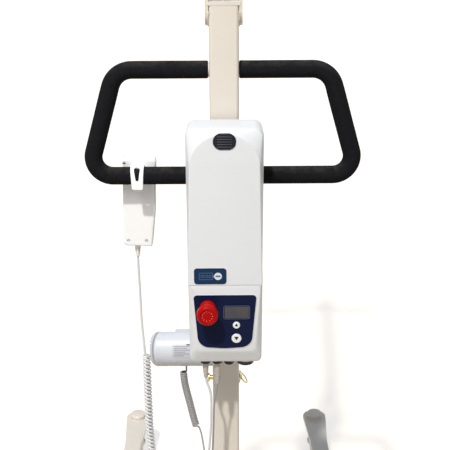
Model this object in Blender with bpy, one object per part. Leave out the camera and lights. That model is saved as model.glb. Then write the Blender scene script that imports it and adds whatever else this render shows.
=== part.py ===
"""Mobile patient lift: wheeled base with spreading legs, mast with push handle, control unit and
handset, actuator, boom and spreader bar. Metres, +Z up, +X right and -Y towards whoever pushes it.
"""

import math

import bmesh
import bpy
from mathutils import Matrix, Vector

# Clearances
SEAT = 0.0003
RUN = 0.0005
BRIDGE = 0.0010

# Casters
WHEEL_R = 0.040
WHEEL_W = 0.026
WHEEL_SIDES = 16
CASTER_TRAIL = 0.030
AXLE_R = 0.005
CROWN_R = 0.024
CROWN_H = 0.012
CROWN_CLEAR = 0.005
FORK_T = 0.004
STEM_R = 0.006
STEM_RISE = 0.018
FORK_NOSE_R = 0.012
PEDAL_AXIS_BACK = 0.047
PEDAL_AXIS_DROP = 0.0085
FORK_SIDE_GAP = 0.002
PEDAL_L = 0.050
PEDAL_W = 0.023
PEDAL_PIN_R = 0.004
PEDAL_HUB_R = PEDAL_PIN_R + 0.003
FORK_INNER = WHEEL_W / 2 + FORK_SIDE_GAP
CASTER_TOP = 2 * WHEEL_R + CROWN_CLEAR + CROWN_H
PEDAL_AXIS_Z = CASTER_TOP - PEDAL_AXIS_DROP

# Base and legs
PLATE_T = 0.008
PLATE_R = 0.034
BEAM_HALF = 0.300
BEAM_DEPTH = 0.080
BEAM_H = 0.050
BEAM_WALL = 0.004
BEAM_TOP = CASTER_TOP + SEAT + PLATE_T
BOSS_R = 0.023
BOSS_H = 0.015
LEG_X = 0.270
LEG_REACH = 0.780
REAR_REACH = 0.150
LEG_W = 0.050
LEG_H = 0.036
LEG_WALL = 0.003
LEG_START = 0.078
LEG_LAP = 0.002
LEG_TUBE_BACK = 0.075
LEG_TUBE_END = LEG_REACH - LEG_TUBE_BACK
FRONT_PLATE_LAP = 0.050
LEG_BOLT_R = 0.009
LEG_BOLT_HEAD_R = 0.016
LEG_BOLT_HEAD_H = 0.007
SOCKET_WALL = 0.005
SOCKET_H = 0.150
SPREAD_PEDAL_HALF = 0.130
SPREAD_PEDAL_TILT = math.radians(12)
SPREAD_HUB_R = 0.019
SPREAD_PIN_R = 0.008
SPREAD_HUB_GAP = 0.030
SPREAD_HUB_L = 0.014
SPREAD_BAR_H = 0.016
SPREAD_PAD_W = 0.050
SPREAD_PAD_D = 0.040
SPREAD_PAD_BACK = 0.016
SPREAD_PAD_LOW = 0.002
SPREAD_PAD_T = 0.008

# Mast and mast head
MAST_SIDE = 0.051
MAST_WALL = 0.003
MAST_CORNER = 0.006
MAST_TOP = 1.390
HEAD_T = 0.006
HEAD_R = 0.028
PIVOT_RISE = 0.080
PIVOT_R = 0.008
MAST_Y = -(LEG_REACH + PLATE_R - REAR_REACH - PEDAL_AXIS_BACK - PEDAL_L) / 2

# Boom, hanger and spreader bar
BOOM_RAISED = math.radians(26)
BOOM_L = 0.820
BOOM_W = 0.046
BOOM_H = 0.060
BOOM_WALL = 0.003
BOOM_CORNER = 0.007
BOOM_TAIL = 0.036
FORK_L = 0.052
FORK_END_R = 0.020
LUG_AT = 0.200
LUG_DROP = 0.056
LUG_R = 0.018
LUG_T = 0.006
LUG_BOLT_R = 0.009
LUG_BOLT_H = 0.006
HANGER_PIN_R = 0.006
HANGER_EYE_R = 0.015
HANGER_EYE_W = 0.026
HANGER_DROP = 0.150
SPINDLE_R = 0.008
SPREADER_HALF = 0.240
SPREADER_R = 0.013
SPREADER_SAG = 0.050
SPREADER_FLAT = 0.060
SPREADER_HIP = 0.012
HOOK_RISE = 0.046
HOOK_TURN = 0.028
HOOK_HEEL = 0.016
HOOK_LEAN = 0.004
HOOK_T = 0.008
HOOK_AT = 0.130
HOOK_MOUTH = 0.024
HOOK_SHANK = 0.012
HOOK_LIP = 0.010
HOOK_DROP = 0.078
HOOK_FLOOR = 0.012
HOOK_LIP_RISE = 0.018
KEEPER_R = 0.004
KEEPER_X = 0.1688
KEEPER_RISE = 0.0257
KEEPER_W = 0.010

# Actuator
CLEVIS_Y = 0.087
CLEVIS_Z = 0.6305
CLEVIS_PIN_R = 0.005
CLEVIS_EAR_R = 0.011
CLEVIS_EAR_T = 0.005
CLEVIS_EYE_W = 0.026
CLEVIS_PIN_L = 0.068
CLEVIS_HEAD_R = 0.0095
CLEVIS_HEAD_T = 0.004
MOTOR_RISE = 0.065
MOTOR_R = 0.033
MOTOR_LEFT = 0.1565
MOTOR_RIGHT = 0.027
MOTOR_DOME = 0.006
MOTOR_CHAMFER = 0.010
CABLE_EXIT = 0.0819
ACT_TUBE_R = 0.0225
GEAR_TOP = MOTOR_RISE + MOTOR_R + 0.001
ACT_TUBE_START = GEAR_TOP + SEAT
ACT_TUBE_END = 0.600
ROD_R = 0.0125
ROD_L = 0.330
ROD_EYE_R = 0.0155
ROD_EYE_W = 0.028
LINCH_R = 0.0022
LINCH_L = 0.026
LINCH_HEAD_R = 0.0042
LINCH_HEAD_H = 0.009
LINCH_RING_R = 0.0130
LINCH_WIRE_R = 0.0014

# Control unit on the mast
UNIT_W = 0.1315
UNIT_BACK = -0.037
UNIT_FRONT = -0.122
UNIT_BOTTOM = 0.7775
UNIT_SEAM = 0.927
UNIT_TOP = 1.2015
UNIT_TOP_ROUND = 0.016
BATTERY_SHOULDER = 0.018
ARCH_HALF = 0.0590
ARCH_SPRING = 1.140
ARCH_RISE = 0.055
BRACKET_W = 0.090
BRACKET_T = 0.003
GRIP_W = 0.0375
GRIP_H = 0.0255
GRIP_Z = 1.1815
GRIP_STAND = 0.005
GRIP_DEPTH = 0.010
GRIP_PRESS = 0.003
PANEL_T = 0.001
PANEL_TOP = 0.9076
PANEL_BOTTOM = 0.8050
PANEL_TOP_HALF = 0.0550
PANEL_LOW_HALF = 0.0485
WINDOW_W = 0.0480
WINDOW_H = 0.0273
WINDOW_T = 0.0012
WINDOW_X = 0.0196
WINDOW_Z = 0.8756
STOP_X = -0.0312
STOP_Z = 0.8850
STOP_HEAD_R = 0.0186
STOP_COLLAR_R = 0.0150
STOP_COLLAR_L = 0.0165
STOP_STEM_R = 0.0080
STOP_PRESS = 0.0045
STOP_HEAD_L = 0.0155
BUTTON_X = 0.0195
UP_Z = 0.8511
UP_R = 0.0068
DOWN_Z = 0.8250
DOWN_R = 0.0093
PANEL_HOLES = ((UP_R, BUTTON_X, UP_Z), (DOWN_R, BUTTON_X, DOWN_Z), (STOP_STEM_R, STOP_X, STOP_Z))
BUTTON_STAND = 0.0018
BUTTON_DEPTH = 0.0030
SOCKET_Y = -0.095
SOCKET_DROP = 0.0135
SOCKET_PLATE_T = 0.003
SOCKET_R = 0.0095
SOCKET_BORE = 0.0068
SOCKET_X = (-0.0370, -0.0156, 0.0060)
LARGE_SOCKET_X = 0.0355
LARGE_SOCKET_R = 0.0155
PLUG_R = 0.0062

# Push handle
HANDLE_TOP_Z = 1.281
HANDLE_LOW_Z = 1.091
HANDLE_TOP_HALF = 0.187
HANDLE_LOW_HALF = 0.243
HANDLE_OFFSET = -0.0034
HANDLE_BEND = 0.040
HANDLE_R = 0.011
FOAM_R = 0.0155
FOAM_LEFT_GAP = 0.003
FOAM_LOW_END = 0.030

# Handset, which hangs from the handle's low bar
HANDSET_X = -0.1570
HANDSET_TOP = 1.116
HANDSET_BOTTOM = 0.9475
HANDSET_HALF = 0.0300
HANDSET_FLARE = 0.0045
HANDSET_TAPER = 0.0055
HANDSET_TILT = math.radians(1.9)
HANDSET_BACK_Y = FOAM_R + 0.004
HANDSET_SPLIT_Y = HANDSET_BACK_Y + 0.014
HANDSET_FRONT_Y = HANDSET_BACK_Y + 0.028
HOOK_W = 0.025
HOOK_TIP_W = 0.020
HOOK_STRIP_T = 0.0028
HOOK_TIP_Z = 1.0680
TEAR_W = 0.010
KEY_R = 0.008
KEY_STAND = 0.0015
KEY_DEPTH = 0.003
RELIEF_X = -0.0030
RELIEF_L = 0.024
RELIEF_R = 0.0059
RELIEF_TIP_R = 0.0038

# Cords
CORD_R = 0.0020
CURL_WIRE_R = 0.0021
CURL_R = 0.0065
CURL_TURNS = 36
COIL_WIRE_R = 0.0017
COIL_R = 0.0050
COIL_TURNS = 25
POINTS_PER_TURN = 8

ROUND = 12
SMALL_ROUND = 8
PLUG_SIDES = 10


def clear_scene():
    for obj in list(bpy.data.objects):
        bpy.data.objects.remove(obj, do_unlink=True)


def finish(name, colour, roughness, metallic=0.0):
    """A Principled material in linear colour, made once and shared by name."""
    found = bpy.data.materials.get(name)
    if found:
        return found
    made = bpy.data.materials.new(name)
    made.use_nodes = True
    made.diffuse_color = (*colour, 1.0)
    shader = made.node_tree.nodes["Principled BSDF"]
    shader.inputs["Base Color"].default_value = (*colour, 1.0)
    shader.inputs["Roughness"].default_value = roughness
    shader.inputs["Metallic"].default_value = metallic
    return made


def cream_paint():
    return finish("cream_paint", (0.80, 0.70, 0.60), 0.35, 0.1)


def white_case():
    return finish("white_case", (0.80, 0.81, 0.82), 0.38)


def black_foam():
    return finish("black_foam", (0.010, 0.010, 0.012), 0.85)


def black_plastic():
    return finish("black_plastic", (0.015, 0.015, 0.017), 0.45)


def grey_plastic():
    return finish("grey_plastic", (0.40, 0.40, 0.41), 0.5)


def zinc():
    return finish("yellow_zinc", (0.62, 0.48, 0.20), 0.35, 0.9)


def bright_steel():
    return finish("bright_steel", (0.60, 0.60, 0.61), 0.3, 1.0)


def grey_tyre():
    return finish("grey_tyre", (0.12, 0.12, 0.13), 0.7)


def navy_film():
    return finish("navy_film", (0.008, 0.012, 0.05), 0.3)


def display_glass():
    return finish("display_glass", (0.08, 0.075, 0.10), 0.15)


def stop_red():
    return finish("stop_red", (0.50, 0.012, 0.008), 0.3)


def white_button():
    return finish("white_button", (0.85, 0.85, 0.86), 0.35)


def placed(across, up, along, axis):
    """A point whose third number runs along the named axis and whose first two lie across it."""
    if axis == "x":
        return Vector((along, across, up))
    if axis == "y":
        return Vector((across, along, up))
    return Vector((across, up, along))


def circle(centre, radius, sides, phase=0.0):
    return [
        Vector((
            centre[0] + radius * math.cos(phase + math.tau * i / sides),
            centre[1] + radius * math.sin(phase + math.tau * i / sides),
        ))
        for i in range(sides)
    ]


def corner_arc(before, corner, after, radius, steps):
    """The arc of this radius that rounds a corner, from the side of before to the side of after."""
    back = (before - corner).normalized()
    ahead = (after - corner).normalized()
    half = back.angle(ahead) / 2
    reach = radius / math.tan(half)
    centre = corner + (back + ahead).normalized() * (radius / math.sin(half))
    start = corner + back * reach - centre
    end = corner + ahead * reach - centre
    sweep = start.angle(end)
    return [
        centre
        + (start * math.sin((1 - i / steps) * sweep) + end * math.sin(i / steps * sweep))
        / math.sin(sweep)
        for i in range(steps + 1)
    ]


def filleted(corners, radii, steps=3):
    """A closed outline with every corner rounded by its own radius."""
    points = [Vector(corner) for corner in corners]
    outline = []
    for i, corner in enumerate(points):
        before = points[i - 1]
        after = points[(i + 1) % len(points)]
        outline += corner_arc(before, corner, after, radii[i], steps)
    return outline


def bent_path(corners, radius, steps=5):
    """An open path through the corners with each inner corner bent to the radius."""
    points = [Vector(corner) for corner in corners]
    path = [points[0]]
    for before, corner, after in zip(points, points[1:], points[2:]):
        path += corner_arc(before, corner, after, radius, steps)
    return path + [points[-1]]


def rounded(width, height, radius, centre=(0.0, 0.0), steps=3):
    left, right = centre[0] - width / 2, centre[0] + width / 2
    low, high = centre[1] - height / 2, centre[1] + height / 2
    corners = ((left, low), (right, low), (right, high), (left, high))
    return filleted(corners, [radius] * 4, steps)


def strap(first, first_r, second, second_r, steps=7):
    """The outline round two circles and the two straight lines that touch both."""
    a, b = Vector(first), Vector(second)
    along = b - a
    heading = math.atan2(along.y, along.x)
    lean = math.acos((first_r - second_r) / along.length)
    outline = []
    for i in range(steps + 1):
        turn = heading + lean + (math.tau - 2 * lean) * i / steps
        outline.append(a + first_r * Vector((math.cos(turn), math.sin(turn))))
    for i in range(steps + 1):
        turn = heading - lean + 2 * lean * i / steps
        outline.append(b + second_r * Vector((math.cos(turn), math.sin(turn))))
    return outline


def skinned(rings, looped=False):
    """Faces between rings of points, with both ends capped, or the last ring joined to the first."""
    shape = bmesh.new()
    loops = [[shape.verts.new(point) for point in ring] for ring in rings]
    pairs = list(zip(loops, loops[1:]))
    if looped:
        pairs.append((loops[-1], loops[0]))
    else:
        shape.faces.new(loops[0])
        shape.faces.new(loops[-1])
    for low, high in pairs:
        for i in range(len(low)):
            j = (i + 1) % len(low)
            shape.faces.new((low[i], low[j], high[j], high[i]))
    bmesh.ops.recalc_face_normals(shape, faces=shape.faces)
    mesh = bpy.data.meshes.new("shape")
    shape.to_mesh(mesh)
    shape.free()
    return mesh


def prism(outline, axis, start, end):
    return skinned([[placed(p[0], p[1], along, axis) for p in outline] for along in (start, end)])


def tube_prism(outer, inner, axis, start, end):
    """A straight tube whose wall lies between two outlines of equally many points."""
    rings = [
        [placed(p[0], p[1], along, axis) for p in outline]
        for outline, along in ((outer, start), (outer, end), (inner, end), (inner, start))
    ]
    return skinned(rings, looped=True)


def turned(profile, axis, centre=(0.0, 0.0, 0.0), sides=ROUND, phase=0.0, looped=False):
    """A profile of (radius, distance along the axis) turned round the axis."""
    rings = [
        [placed(p.x, p.y, along, axis) + Vector(centre) for p in circle((0, 0), radius, sides, phase)]
        for radius, along in profile
    ]
    return skinned(rings, looped)


def rod_shape(radius, axis, start, end, centre=(0.0, 0.0, 0.0), sides=ROUND):
    return turned([(radius, start), (radius, end)], axis, centre, sides)


def block(low, high):
    (x0, y0, z0), (x1, y1, z1) = low, high
    return prism([(x0, y0), (x1, y0), (x1, y1), (x0, y1)], "z", z0, z1)


def eased(mesh, width, segments=2, sharper_than=30):
    """The mesh with its sharp edges rounded."""
    shape = bmesh.new()
    shape.from_mesh(mesh)
    edges = [e for e in shape.edges if e.calc_face_angle(0) > math.radians(sharper_than)]
    bmesh.ops.bevel(
        shape, geom=edges, offset=width, segments=segments, profile=0.5, affect="EDGES"
    )
    shape.to_mesh(mesh)
    shape.free()
    return mesh


def swept(path, across, outline, bore=None):
    """An outline carried along a flat path; across is the direction square to the path's plane."""
    across = Vector(across)
    rings = []
    holes = []
    for i, point in enumerate(path):
        before = path[max(i - 1, 0)]
        after = path[min(i + 1, len(path) - 1)]
        side = (after - before).normalized().cross(across)
        rings.append([point + side * p[0] + across * p[1] for p in outline])
        if bore:
            holes.append([point + side * p[0] + across * p[1] for p in bore])
    return skinned(rings + holes[::-1], looped=bool(bore))


def combined(mesh, others, operation):
    """The mesh with every other one joined to it, cut from it or kept in common with it."""
    collection = bpy.context.scene.collection
    body = bpy.data.objects.new("body", mesh)
    collection.objects.link(body)
    helpers = []
    for other in others:
        helper = bpy.data.objects.new("helper", other)
        collection.objects.link(helper)
        helpers.append(helper)
        step = body.modifiers.new("step", "BOOLEAN")
        step.operation = operation
        step.object = helper
    graph = bpy.context.evaluated_depsgraph_get()
    result = bpy.data.meshes.new_from_object(body.evaluated_get(graph))
    for obj in [body, *helpers]:
        bpy.data.objects.remove(obj, do_unlink=True)
    return result


def joined(mesh, *others):
    return combined(mesh, others, "UNION")


def cut(mesh, *others):
    return combined(mesh, others, "DIFFERENCE")


def empty(name, at, turn=(0.0, 0.0, 0.0), parent=None):
    obj = bpy.data.objects.new(name, None)
    bpy.context.scene.collection.objects.link(obj)
    obj.location = at
    obj.rotation_euler = turn
    obj.parent = parent
    return obj


def piece(name, mesh, material, parent, at=(0.0, 0.0, 0.0), turn=(0.0, 0.0, 0.0)):
    mesh.name = name
    mesh.materials.clear()
    mesh.materials.append(material)
    mesh.shade_smooth()
    mesh.set_sharp_from_angle(angle=math.radians(35))
    obj = bpy.data.objects.new(name, mesh)
    bpy.context.scene.collection.objects.link(obj)
    obj.parent = parent
    obj.location = at
    obj.rotation_euler = turn
    return obj


def caster_fork(name, parent, braked):
    """Crown, two arms, stem and axle of one caster; its origin is on the swivel axis at the floor."""
    axle_at = (-CASTER_TRAIL, WHEEL_R)
    arm_top_r = 0.015
    arm_top = (-0.004, CASTER_TOP - BRIDGE - arm_top_r)
    crown_low = CASTER_TOP - CROWN_H
    crown_edge = 0.004
    shape = turned(
        [(CROWN_R - crown_edge, crown_low), (CROWN_R, crown_low + crown_edge), (CROWN_R, CASTER_TOP)], "z"
    )
    parts = [rod_shape(STEM_R, "z", CASTER_TOP - 0.004, CASTER_TOP + STEM_RISE, sides=SMALL_ROUND)]
    for side in (-1, 1):
        low, high = sorted((side * FORK_INNER, side * (FORK_INNER + FORK_T)))
        parts.append(prism(strap(arm_top, arm_top_r, axle_at, FORK_NOSE_R, 4), "x", low, high))
        if braked:
            lug = (-PEDAL_AXIS_BACK, PEDAL_AXIS_Z)
            parts.append(prism(strap(arm_top, 0.010, lug, PEDAL_HUB_R, 3), "x", low + 0.0004, high - 0.0004))
    reach = FORK_INNER + FORK_T + 0.004
    parts.append(
        rod_shape(AXLE_R, "x", -reach, reach, (0, axle_at[0], axle_at[1]), SMALL_ROUND)
    )
    if braked:
        reach = FORK_INNER + FORK_T + 0.001
        parts.append(rod_shape(PEDAL_PIN_R, "x", -reach, reach, (0, -PEDAL_AXIS_BACK, PEDAL_AXIS_Z), 8))
    return piece(name, joined(shape, *parts), bright_steel(), parent)


def caster_wheel(name, parent):
    """Tyre and hub in one turned piece, with a flat facet at the floor."""
    facet_r = WHEEL_R / math.cos(math.pi / WHEEL_SIDES)
    half = WHEEL_W / 2
    bore = AXLE_R + RUN
    profile = [(bore, -half + 0.002), (facet_r - 0.004, -half), (facet_r, -half + 0.006)]
    profile += [(radius, -along) for radius, along in reversed(profile)]
    phase = -math.pi / 2 + math.pi / WHEEL_SIDES
    mesh = turned(profile, "x", sides=WHEEL_SIDES, phase=phase, looped=True)
    return piece(name, mesh, grey_tyre(), parent, (0, -CASTER_TRAIL, WHEEL_R))


def brake_pedal(name, parent):
    """The foot pedal of a braked caster; it pivots on the pin between the fork's lugs."""
    hub = rod_shape(PEDAL_HUB_R, "x", -FORK_INNER + RUN, FORK_INNER - RUN, sides=SMALL_ROUND)
    tread = [
        (0.0, -0.003),
        (-PEDAL_L + 0.004, 0.001),
        (-PEDAL_L, 0.006),
        (-PEDAL_L + 0.003, 0.0085),
        (0.0, 0.004),
    ]
    plate = prism(tread, "x", -PEDAL_W / 2, PEDAL_W / 2)
    bore = rod_shape(PEDAL_PIN_R + RUN, "x", -PEDAL_W, PEDAL_W, sides=SMALL_ROUND)
    return piece(name, cut(joined(hub, plate), bore), black_plastic(), parent)


def caster(name, parent, x, y, braked):
    swivel = empty(name + "_swivel", (x, y, 0), parent=parent)
    caster_fork(name + "_fork", swivel, braked)
    caster_wheel(name + "_wheel", swivel)
    if braked:
        pin = empty(name + "_brake_pin", (0, -PEDAL_AXIS_BACK, PEDAL_AXIS_Z), parent=swivel)
        brake_pedal(name + "_brake_pedal", pin)


def caster_boss(root, centre):
    """The raised boss over a caster's stem, from a little under the face that carries it."""
    top = BEAM_TOP + BOSS_H
    return turned([(BOSS_R, root - 0.002), (BOSS_R, top - 0.004), (BOSS_R - 0.006, top)], "z", centre)


def caster_seat(x, y):
    """The cutter for a caster's stem: a blind hole up into plate and boss."""
    under = CASTER_TOP + SEAT
    return rod_shape(STEM_R + RUN, "z", under - 0.01, CASTER_TOP + STEM_RISE + 0.0015, (x, y, 0), SMALL_ROUND)


def base_beam(lift):
    """Cross beam with the mast socket, the rear caster plates, the leg bolts and the pedal's pin."""
    outer = rounded(BEAM_DEPTH, BEAM_H, 0.008, (0, BEAM_TOP - BEAM_H / 2), 2)
    inner = rounded(BEAM_DEPTH - 2 * BEAM_WALL, BEAM_H - 2 * BEAM_WALL, 0.004, (0, BEAM_TOP - BEAM_H / 2), 2)
    beam = tube_prism(outer, inner, "x", -BEAM_HALF, BEAM_HALF)
    hole = MAST_SIDE / 2 + SEAT
    sleeve = tube_prism(
        rounded(2 * (hole + SOCKET_WALL), 2 * (hole + SOCKET_WALL), 0.009, steps=3),
        rounded(2 * hole, 2 * hole, MAST_CORNER + SEAT, steps=3),
        "z",
        BEAM_TOP - BEAM_WALL / 2,
        BEAM_TOP + SOCKET_H,
    )
    parts = [sleeve]
    cutters = []
    under = CASTER_TOP + SEAT
    for side in (-1, 1):
        x = side * LEG_X
        rear = strap((x, -REAR_REACH), PLATE_R, (x, -BEAM_DEPTH / 2 + 0.001), PLATE_R - 0.004, 5)
        plate = prism(rear, "z", under, BEAM_TOP - 0.0005)
        front_face = -BEAM_DEPTH / 2 + BEAM_WALL - 0.001
        trim = block((x - 0.1, front_face, 0), (x + 0.1, 0.2, 0.3))
        plate = cut(plate, trim)
        parts.append(plate)
        parts.append(caster_boss(BEAM_TOP, (x, -REAR_REACH, 0)))
        cutters.append(caster_seat(x, -REAR_REACH))
        head = BEAM_TOP + SEAT + PLATE_T + RUN
        parts.append(
            turned(
                [
                    (LEG_BOLT_R, BEAM_TOP - 0.002),
                    (LEG_BOLT_R, head),
                    (LEG_BOLT_HEAD_R, head),
                    (LEG_BOLT_HEAD_R, head + LEG_BOLT_HEAD_H * 0.6),
                    (LEG_BOLT_HEAD_R * 0.55, head + LEG_BOLT_HEAD_H),
                ],
                "z",
                (x, 0, 0),
                SMALL_ROUND,
            )
        )
    pin_end = -BEAM_DEPTH / 2 - SPREAD_HUB_GAP
    pin_z = BEAM_TOP - BEAM_H / 2
    parts.append(
        turned(
            [
                (0.015, -BEAM_DEPTH / 2 + 0.002),
                (0.015, pin_end),
                (SPREAD_PIN_R, pin_end),
                (SPREAD_PIN_R, pin_end - SPREAD_HUB_L - 2 * RUN),
                (SPREAD_PIN_R + 0.005, pin_end - SPREAD_HUB_L - 2 * RUN),
                (SPREAD_PIN_R + 0.005, pin_end - SPREAD_HUB_L - 0.005),
            ],
            "y",
            (0, 0, pin_z),
            SMALL_ROUND,
        )
    )
    return piece("base_beam", cut(joined(beam, *parts), *cutters), cream_paint(), lift)


def leg(name, lift, side):
    """One leg, with its origin on its pivot bolt: pivot plate, tube, front plate and caster boss."""
    pivot = empty(name + "_pivot", (side * LEG_X, 0, 0), parent=lift)
    top = BEAM_TOP + SEAT + LEG_LAP
    middle = top - LEG_H / 2
    tube = tube_prism(
        rounded(LEG_W, LEG_H, 0.007, (0, middle), 2),
        rounded(LEG_W - 2 * LEG_WALL, LEG_H - 2 * LEG_WALL, 0.004, (0, middle), 2),
        "y",
        LEG_START,
        LEG_TUBE_END,
    )
    pivot_plate = prism(
        strap((0, 0), PLATE_R - 0.004, (0, LEG_START + 0.110), 0.020, 5),
        "z",
        BEAM_TOP + SEAT,
        BEAM_TOP + SEAT + PLATE_T,
    )
    under = CASTER_TOP + SEAT
    front_plate = prism(
        strap((0, LEG_REACH), PLATE_R, (0, LEG_TUBE_END - FRONT_PLATE_LAP), 0.0245, 6), "z", under, top - LEG_WALL / 2
    )
    boss = caster_boss(top - 0.002, (0, LEG_REACH, 0))
    shape = joined(tube, pivot_plate, front_plate, boss)
    bolt_hole = rod_shape(LEG_BOLT_R + RUN, "z", BEAM_TOP - 0.01, BEAM_TOP + 0.05)
    shape = cut(shape, bolt_hole, caster_seat(0, LEG_REACH))
    piece(name, shape, cream_paint(), pivot)
    return pivot


def spread_pedal(lift):
    """The rocking foot pedal that spreads the legs, tilted to its closed side at rest."""
    at = (0, -BEAM_DEPTH / 2 - SPREAD_HUB_GAP - RUN, BEAM_TOP - BEAM_H / 2)
    axis = empty("spread_pedal_pin", at, (0, SPREAD_PEDAL_TILT, 0), lift)
    hub = rod_shape(SPREAD_HUB_R, "y", -SPREAD_HUB_L, 0)
    bar_w = 2 * SPREAD_PEDAL_HALF - 0.8 * SPREAD_PAD_W
    bar = prism(rounded(bar_w, SPREAD_BAR_H, 0.3 * SPREAD_BAR_H, steps=2), "y", -0.011, -0.003)
    parts = [bar]
    for side in (-1, 1):
        pad_at = (side * (SPREAD_PEDAL_HALF - SPREAD_PAD_W / 2), -SPREAD_PAD_BACK)
        pad = rounded(SPREAD_PAD_W, SPREAD_PAD_D, 0.008, pad_at, 2)
        parts.append(prism(pad, "z", SPREAD_PAD_LOW, SPREAD_PAD_LOW + SPREAD_PAD_T))
    bore = rod_shape(SPREAD_PIN_R + RUN, "y", -0.1, 0.1)
    piece("spread_pedal", cut(joined(hub, *parts), bore), black_plastic(), axis)


def mast(lift):
    inside = MAST_SIDE - 2 * MAST_WALL
    mesh = tube_prism(
        rounded(MAST_SIDE, MAST_SIDE, MAST_CORNER, steps=3),
        rounded(inside, inside, MAST_CORNER - MAST_WALL, steps=3),
        "z",
        BEAM_TOP + SEAT,
        MAST_TOP,
    )
    return piece("mast", mesh, cream_paint(), lift)


def mast_head(lift):
    """Cap plate and two ears on the mast's top, with the boom's pivot bolt through them."""
    inner = MAST_SIDE / 2 + SEAT
    pivot_z = MAST_TOP + PIVOT_RISE
    cap = block(
        (-inner - HEAD_T / 2, -MAST_SIDE / 2, MAST_TOP + SEAT),
        (inner + HEAD_T / 2, MAST_SIDE / 2, MAST_TOP + SEAT + HEAD_T),
    )
    ears = [
        prism(strap((0, MAST_TOP - 0.010), HEAD_R - 0.004, (0, pivot_z), HEAD_R, 6), "x", *sorted(ends))
        for ends in ((-inner - HEAD_T, -inner), (inner, inner + HEAD_T))
    ]
    hole = rod_shape(PIVOT_R + SEAT, "x", -0.1, 0.1, (0, 0, pivot_z))
    piece("mast_head", cut(joined(cap, *ears), hole), cream_paint(), lift)
    reach = inner + HEAD_T + SEAT
    bolt = turned(
        [
            (PIVOT_R + 0.006, -reach - 0.007),
            (PIVOT_R + 0.006, -reach),
            (PIVOT_R, -reach),
            (PIVOT_R, reach),
            (PIVOT_R + 0.005, reach),
            (PIVOT_R + 0.005, reach + 0.009),
        ],
        "x",
        sides=SMALL_ROUND,
    )
    piece("boom_pivot_bolt", bolt, zinc(), lift, (0, 0, pivot_z))


def boom(lift):
    """The lifting arm: tube, pivot hub, actuator lug plates and the fork that holds the hanger."""
    axis = empty("boom_axis", (0, 0, MAST_TOP + PIVOT_RISE), (BOOM_RAISED, 0, 0), lift)
    tube_end = BOOM_L - FORK_L
    tube = tube_prism(
        rounded(BOOM_W, BOOM_H, BOOM_CORNER, steps=2),
        rounded(BOOM_W - 2 * BOOM_WALL, BOOM_H - 2 * BOOM_WALL, BOOM_CORNER - BOOM_WALL, steps=2),
        "y",
        -BOOM_TAIL,
        tube_end,
    )
    hub = rod_shape(0.017, "x", -MAST_SIDE / 2 + SEAT, MAST_SIDE / 2 - SEAT)
    parts = [hub]
    lug_inner = ROD_EYE_W / 2 + BRIDGE
    fork_inner = HANGER_EYE_W / 2 + RUN
    for side in (-1, 1):
        low, high = sorted((side * lug_inner, side * (lug_inner + LUG_T)))
        lug = strap((LUG_AT, -BOOM_H / 2 + 0.004), 0.034, (LUG_AT, -LUG_DROP), LUG_R, 5)
        lug = [p if p.y < -BOOM_H / 2 + 0.002 else Vector((p.x, -BOOM_H / 2 + 0.002)) for p in lug]
        parts.append(prism(deduplicated(lug), "x", low, high))
        outer = side * (lug_inner + LUG_T)
        low, high = sorted((outer - side * 0.001, outer + side * LUG_BOLT_H))
        parts.append(rod_shape(LUG_BOLT_R, "x", low, high, (0, LUG_AT, -LUG_DROP), 6))
        low, high = sorted((side * fork_inner, side * (BOOM_W / 2 - BOOM_WALL + 0.001)))
        ear = strap((tube_end - 0.045, 0), 0.022, (BOOM_L, 0), FORK_END_R, 5)
        parts.append(prism(ear, "x", low, high))
    reach = BOOM_W / 2 + 0.002
    parts.append(rod_shape(HANGER_PIN_R, "x", -reach, reach, (0, BOOM_L, 0), SMALL_ROUND))
    bore = rod_shape(PIVOT_R + RUN, "x", -0.1, 0.1)
    piece("boom", cut(joined(tube, *parts), bore), cream_paint(), axis)


def deduplicated(points):
    """The outline without points that fall on the one before."""
    kept = [p for i, p in enumerate(points) if (p - points[i - 1]).length > 1e-5]
    return kept


def on_boom(along, above):
    """Where a point of the boom lies over the mast's foot, as (y, z)."""
    y = along * math.cos(BOOM_RAISED) - above * math.sin(BOOM_RAISED)
    z = along * math.sin(BOOM_RAISED) + above * math.cos(BOOM_RAISED)
    return y, z + MAST_TOP + PIVOT_RISE


def spreader_path():
    """Half of the bar's centre line, from its middle out to the end hook's tip."""
    top = -HANGER_DROP - SPREADER_R
    low = top - SPREADER_SAG
    return [
        Vector((SPREADER_FLAT, 0, top)),
        Vector((SPREADER_HALF * 0.62, 0, low + SPREADER_HIP)),
        Vector((SPREADER_HALF - HOOK_TURN, 0, low)),
        Vector((SPREADER_HALF, 0, low + HOOK_HEEL)),
        Vector((SPREADER_HALF - HOOK_LEAN, 0, low + HOOK_RISE)),
    ]


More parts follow.
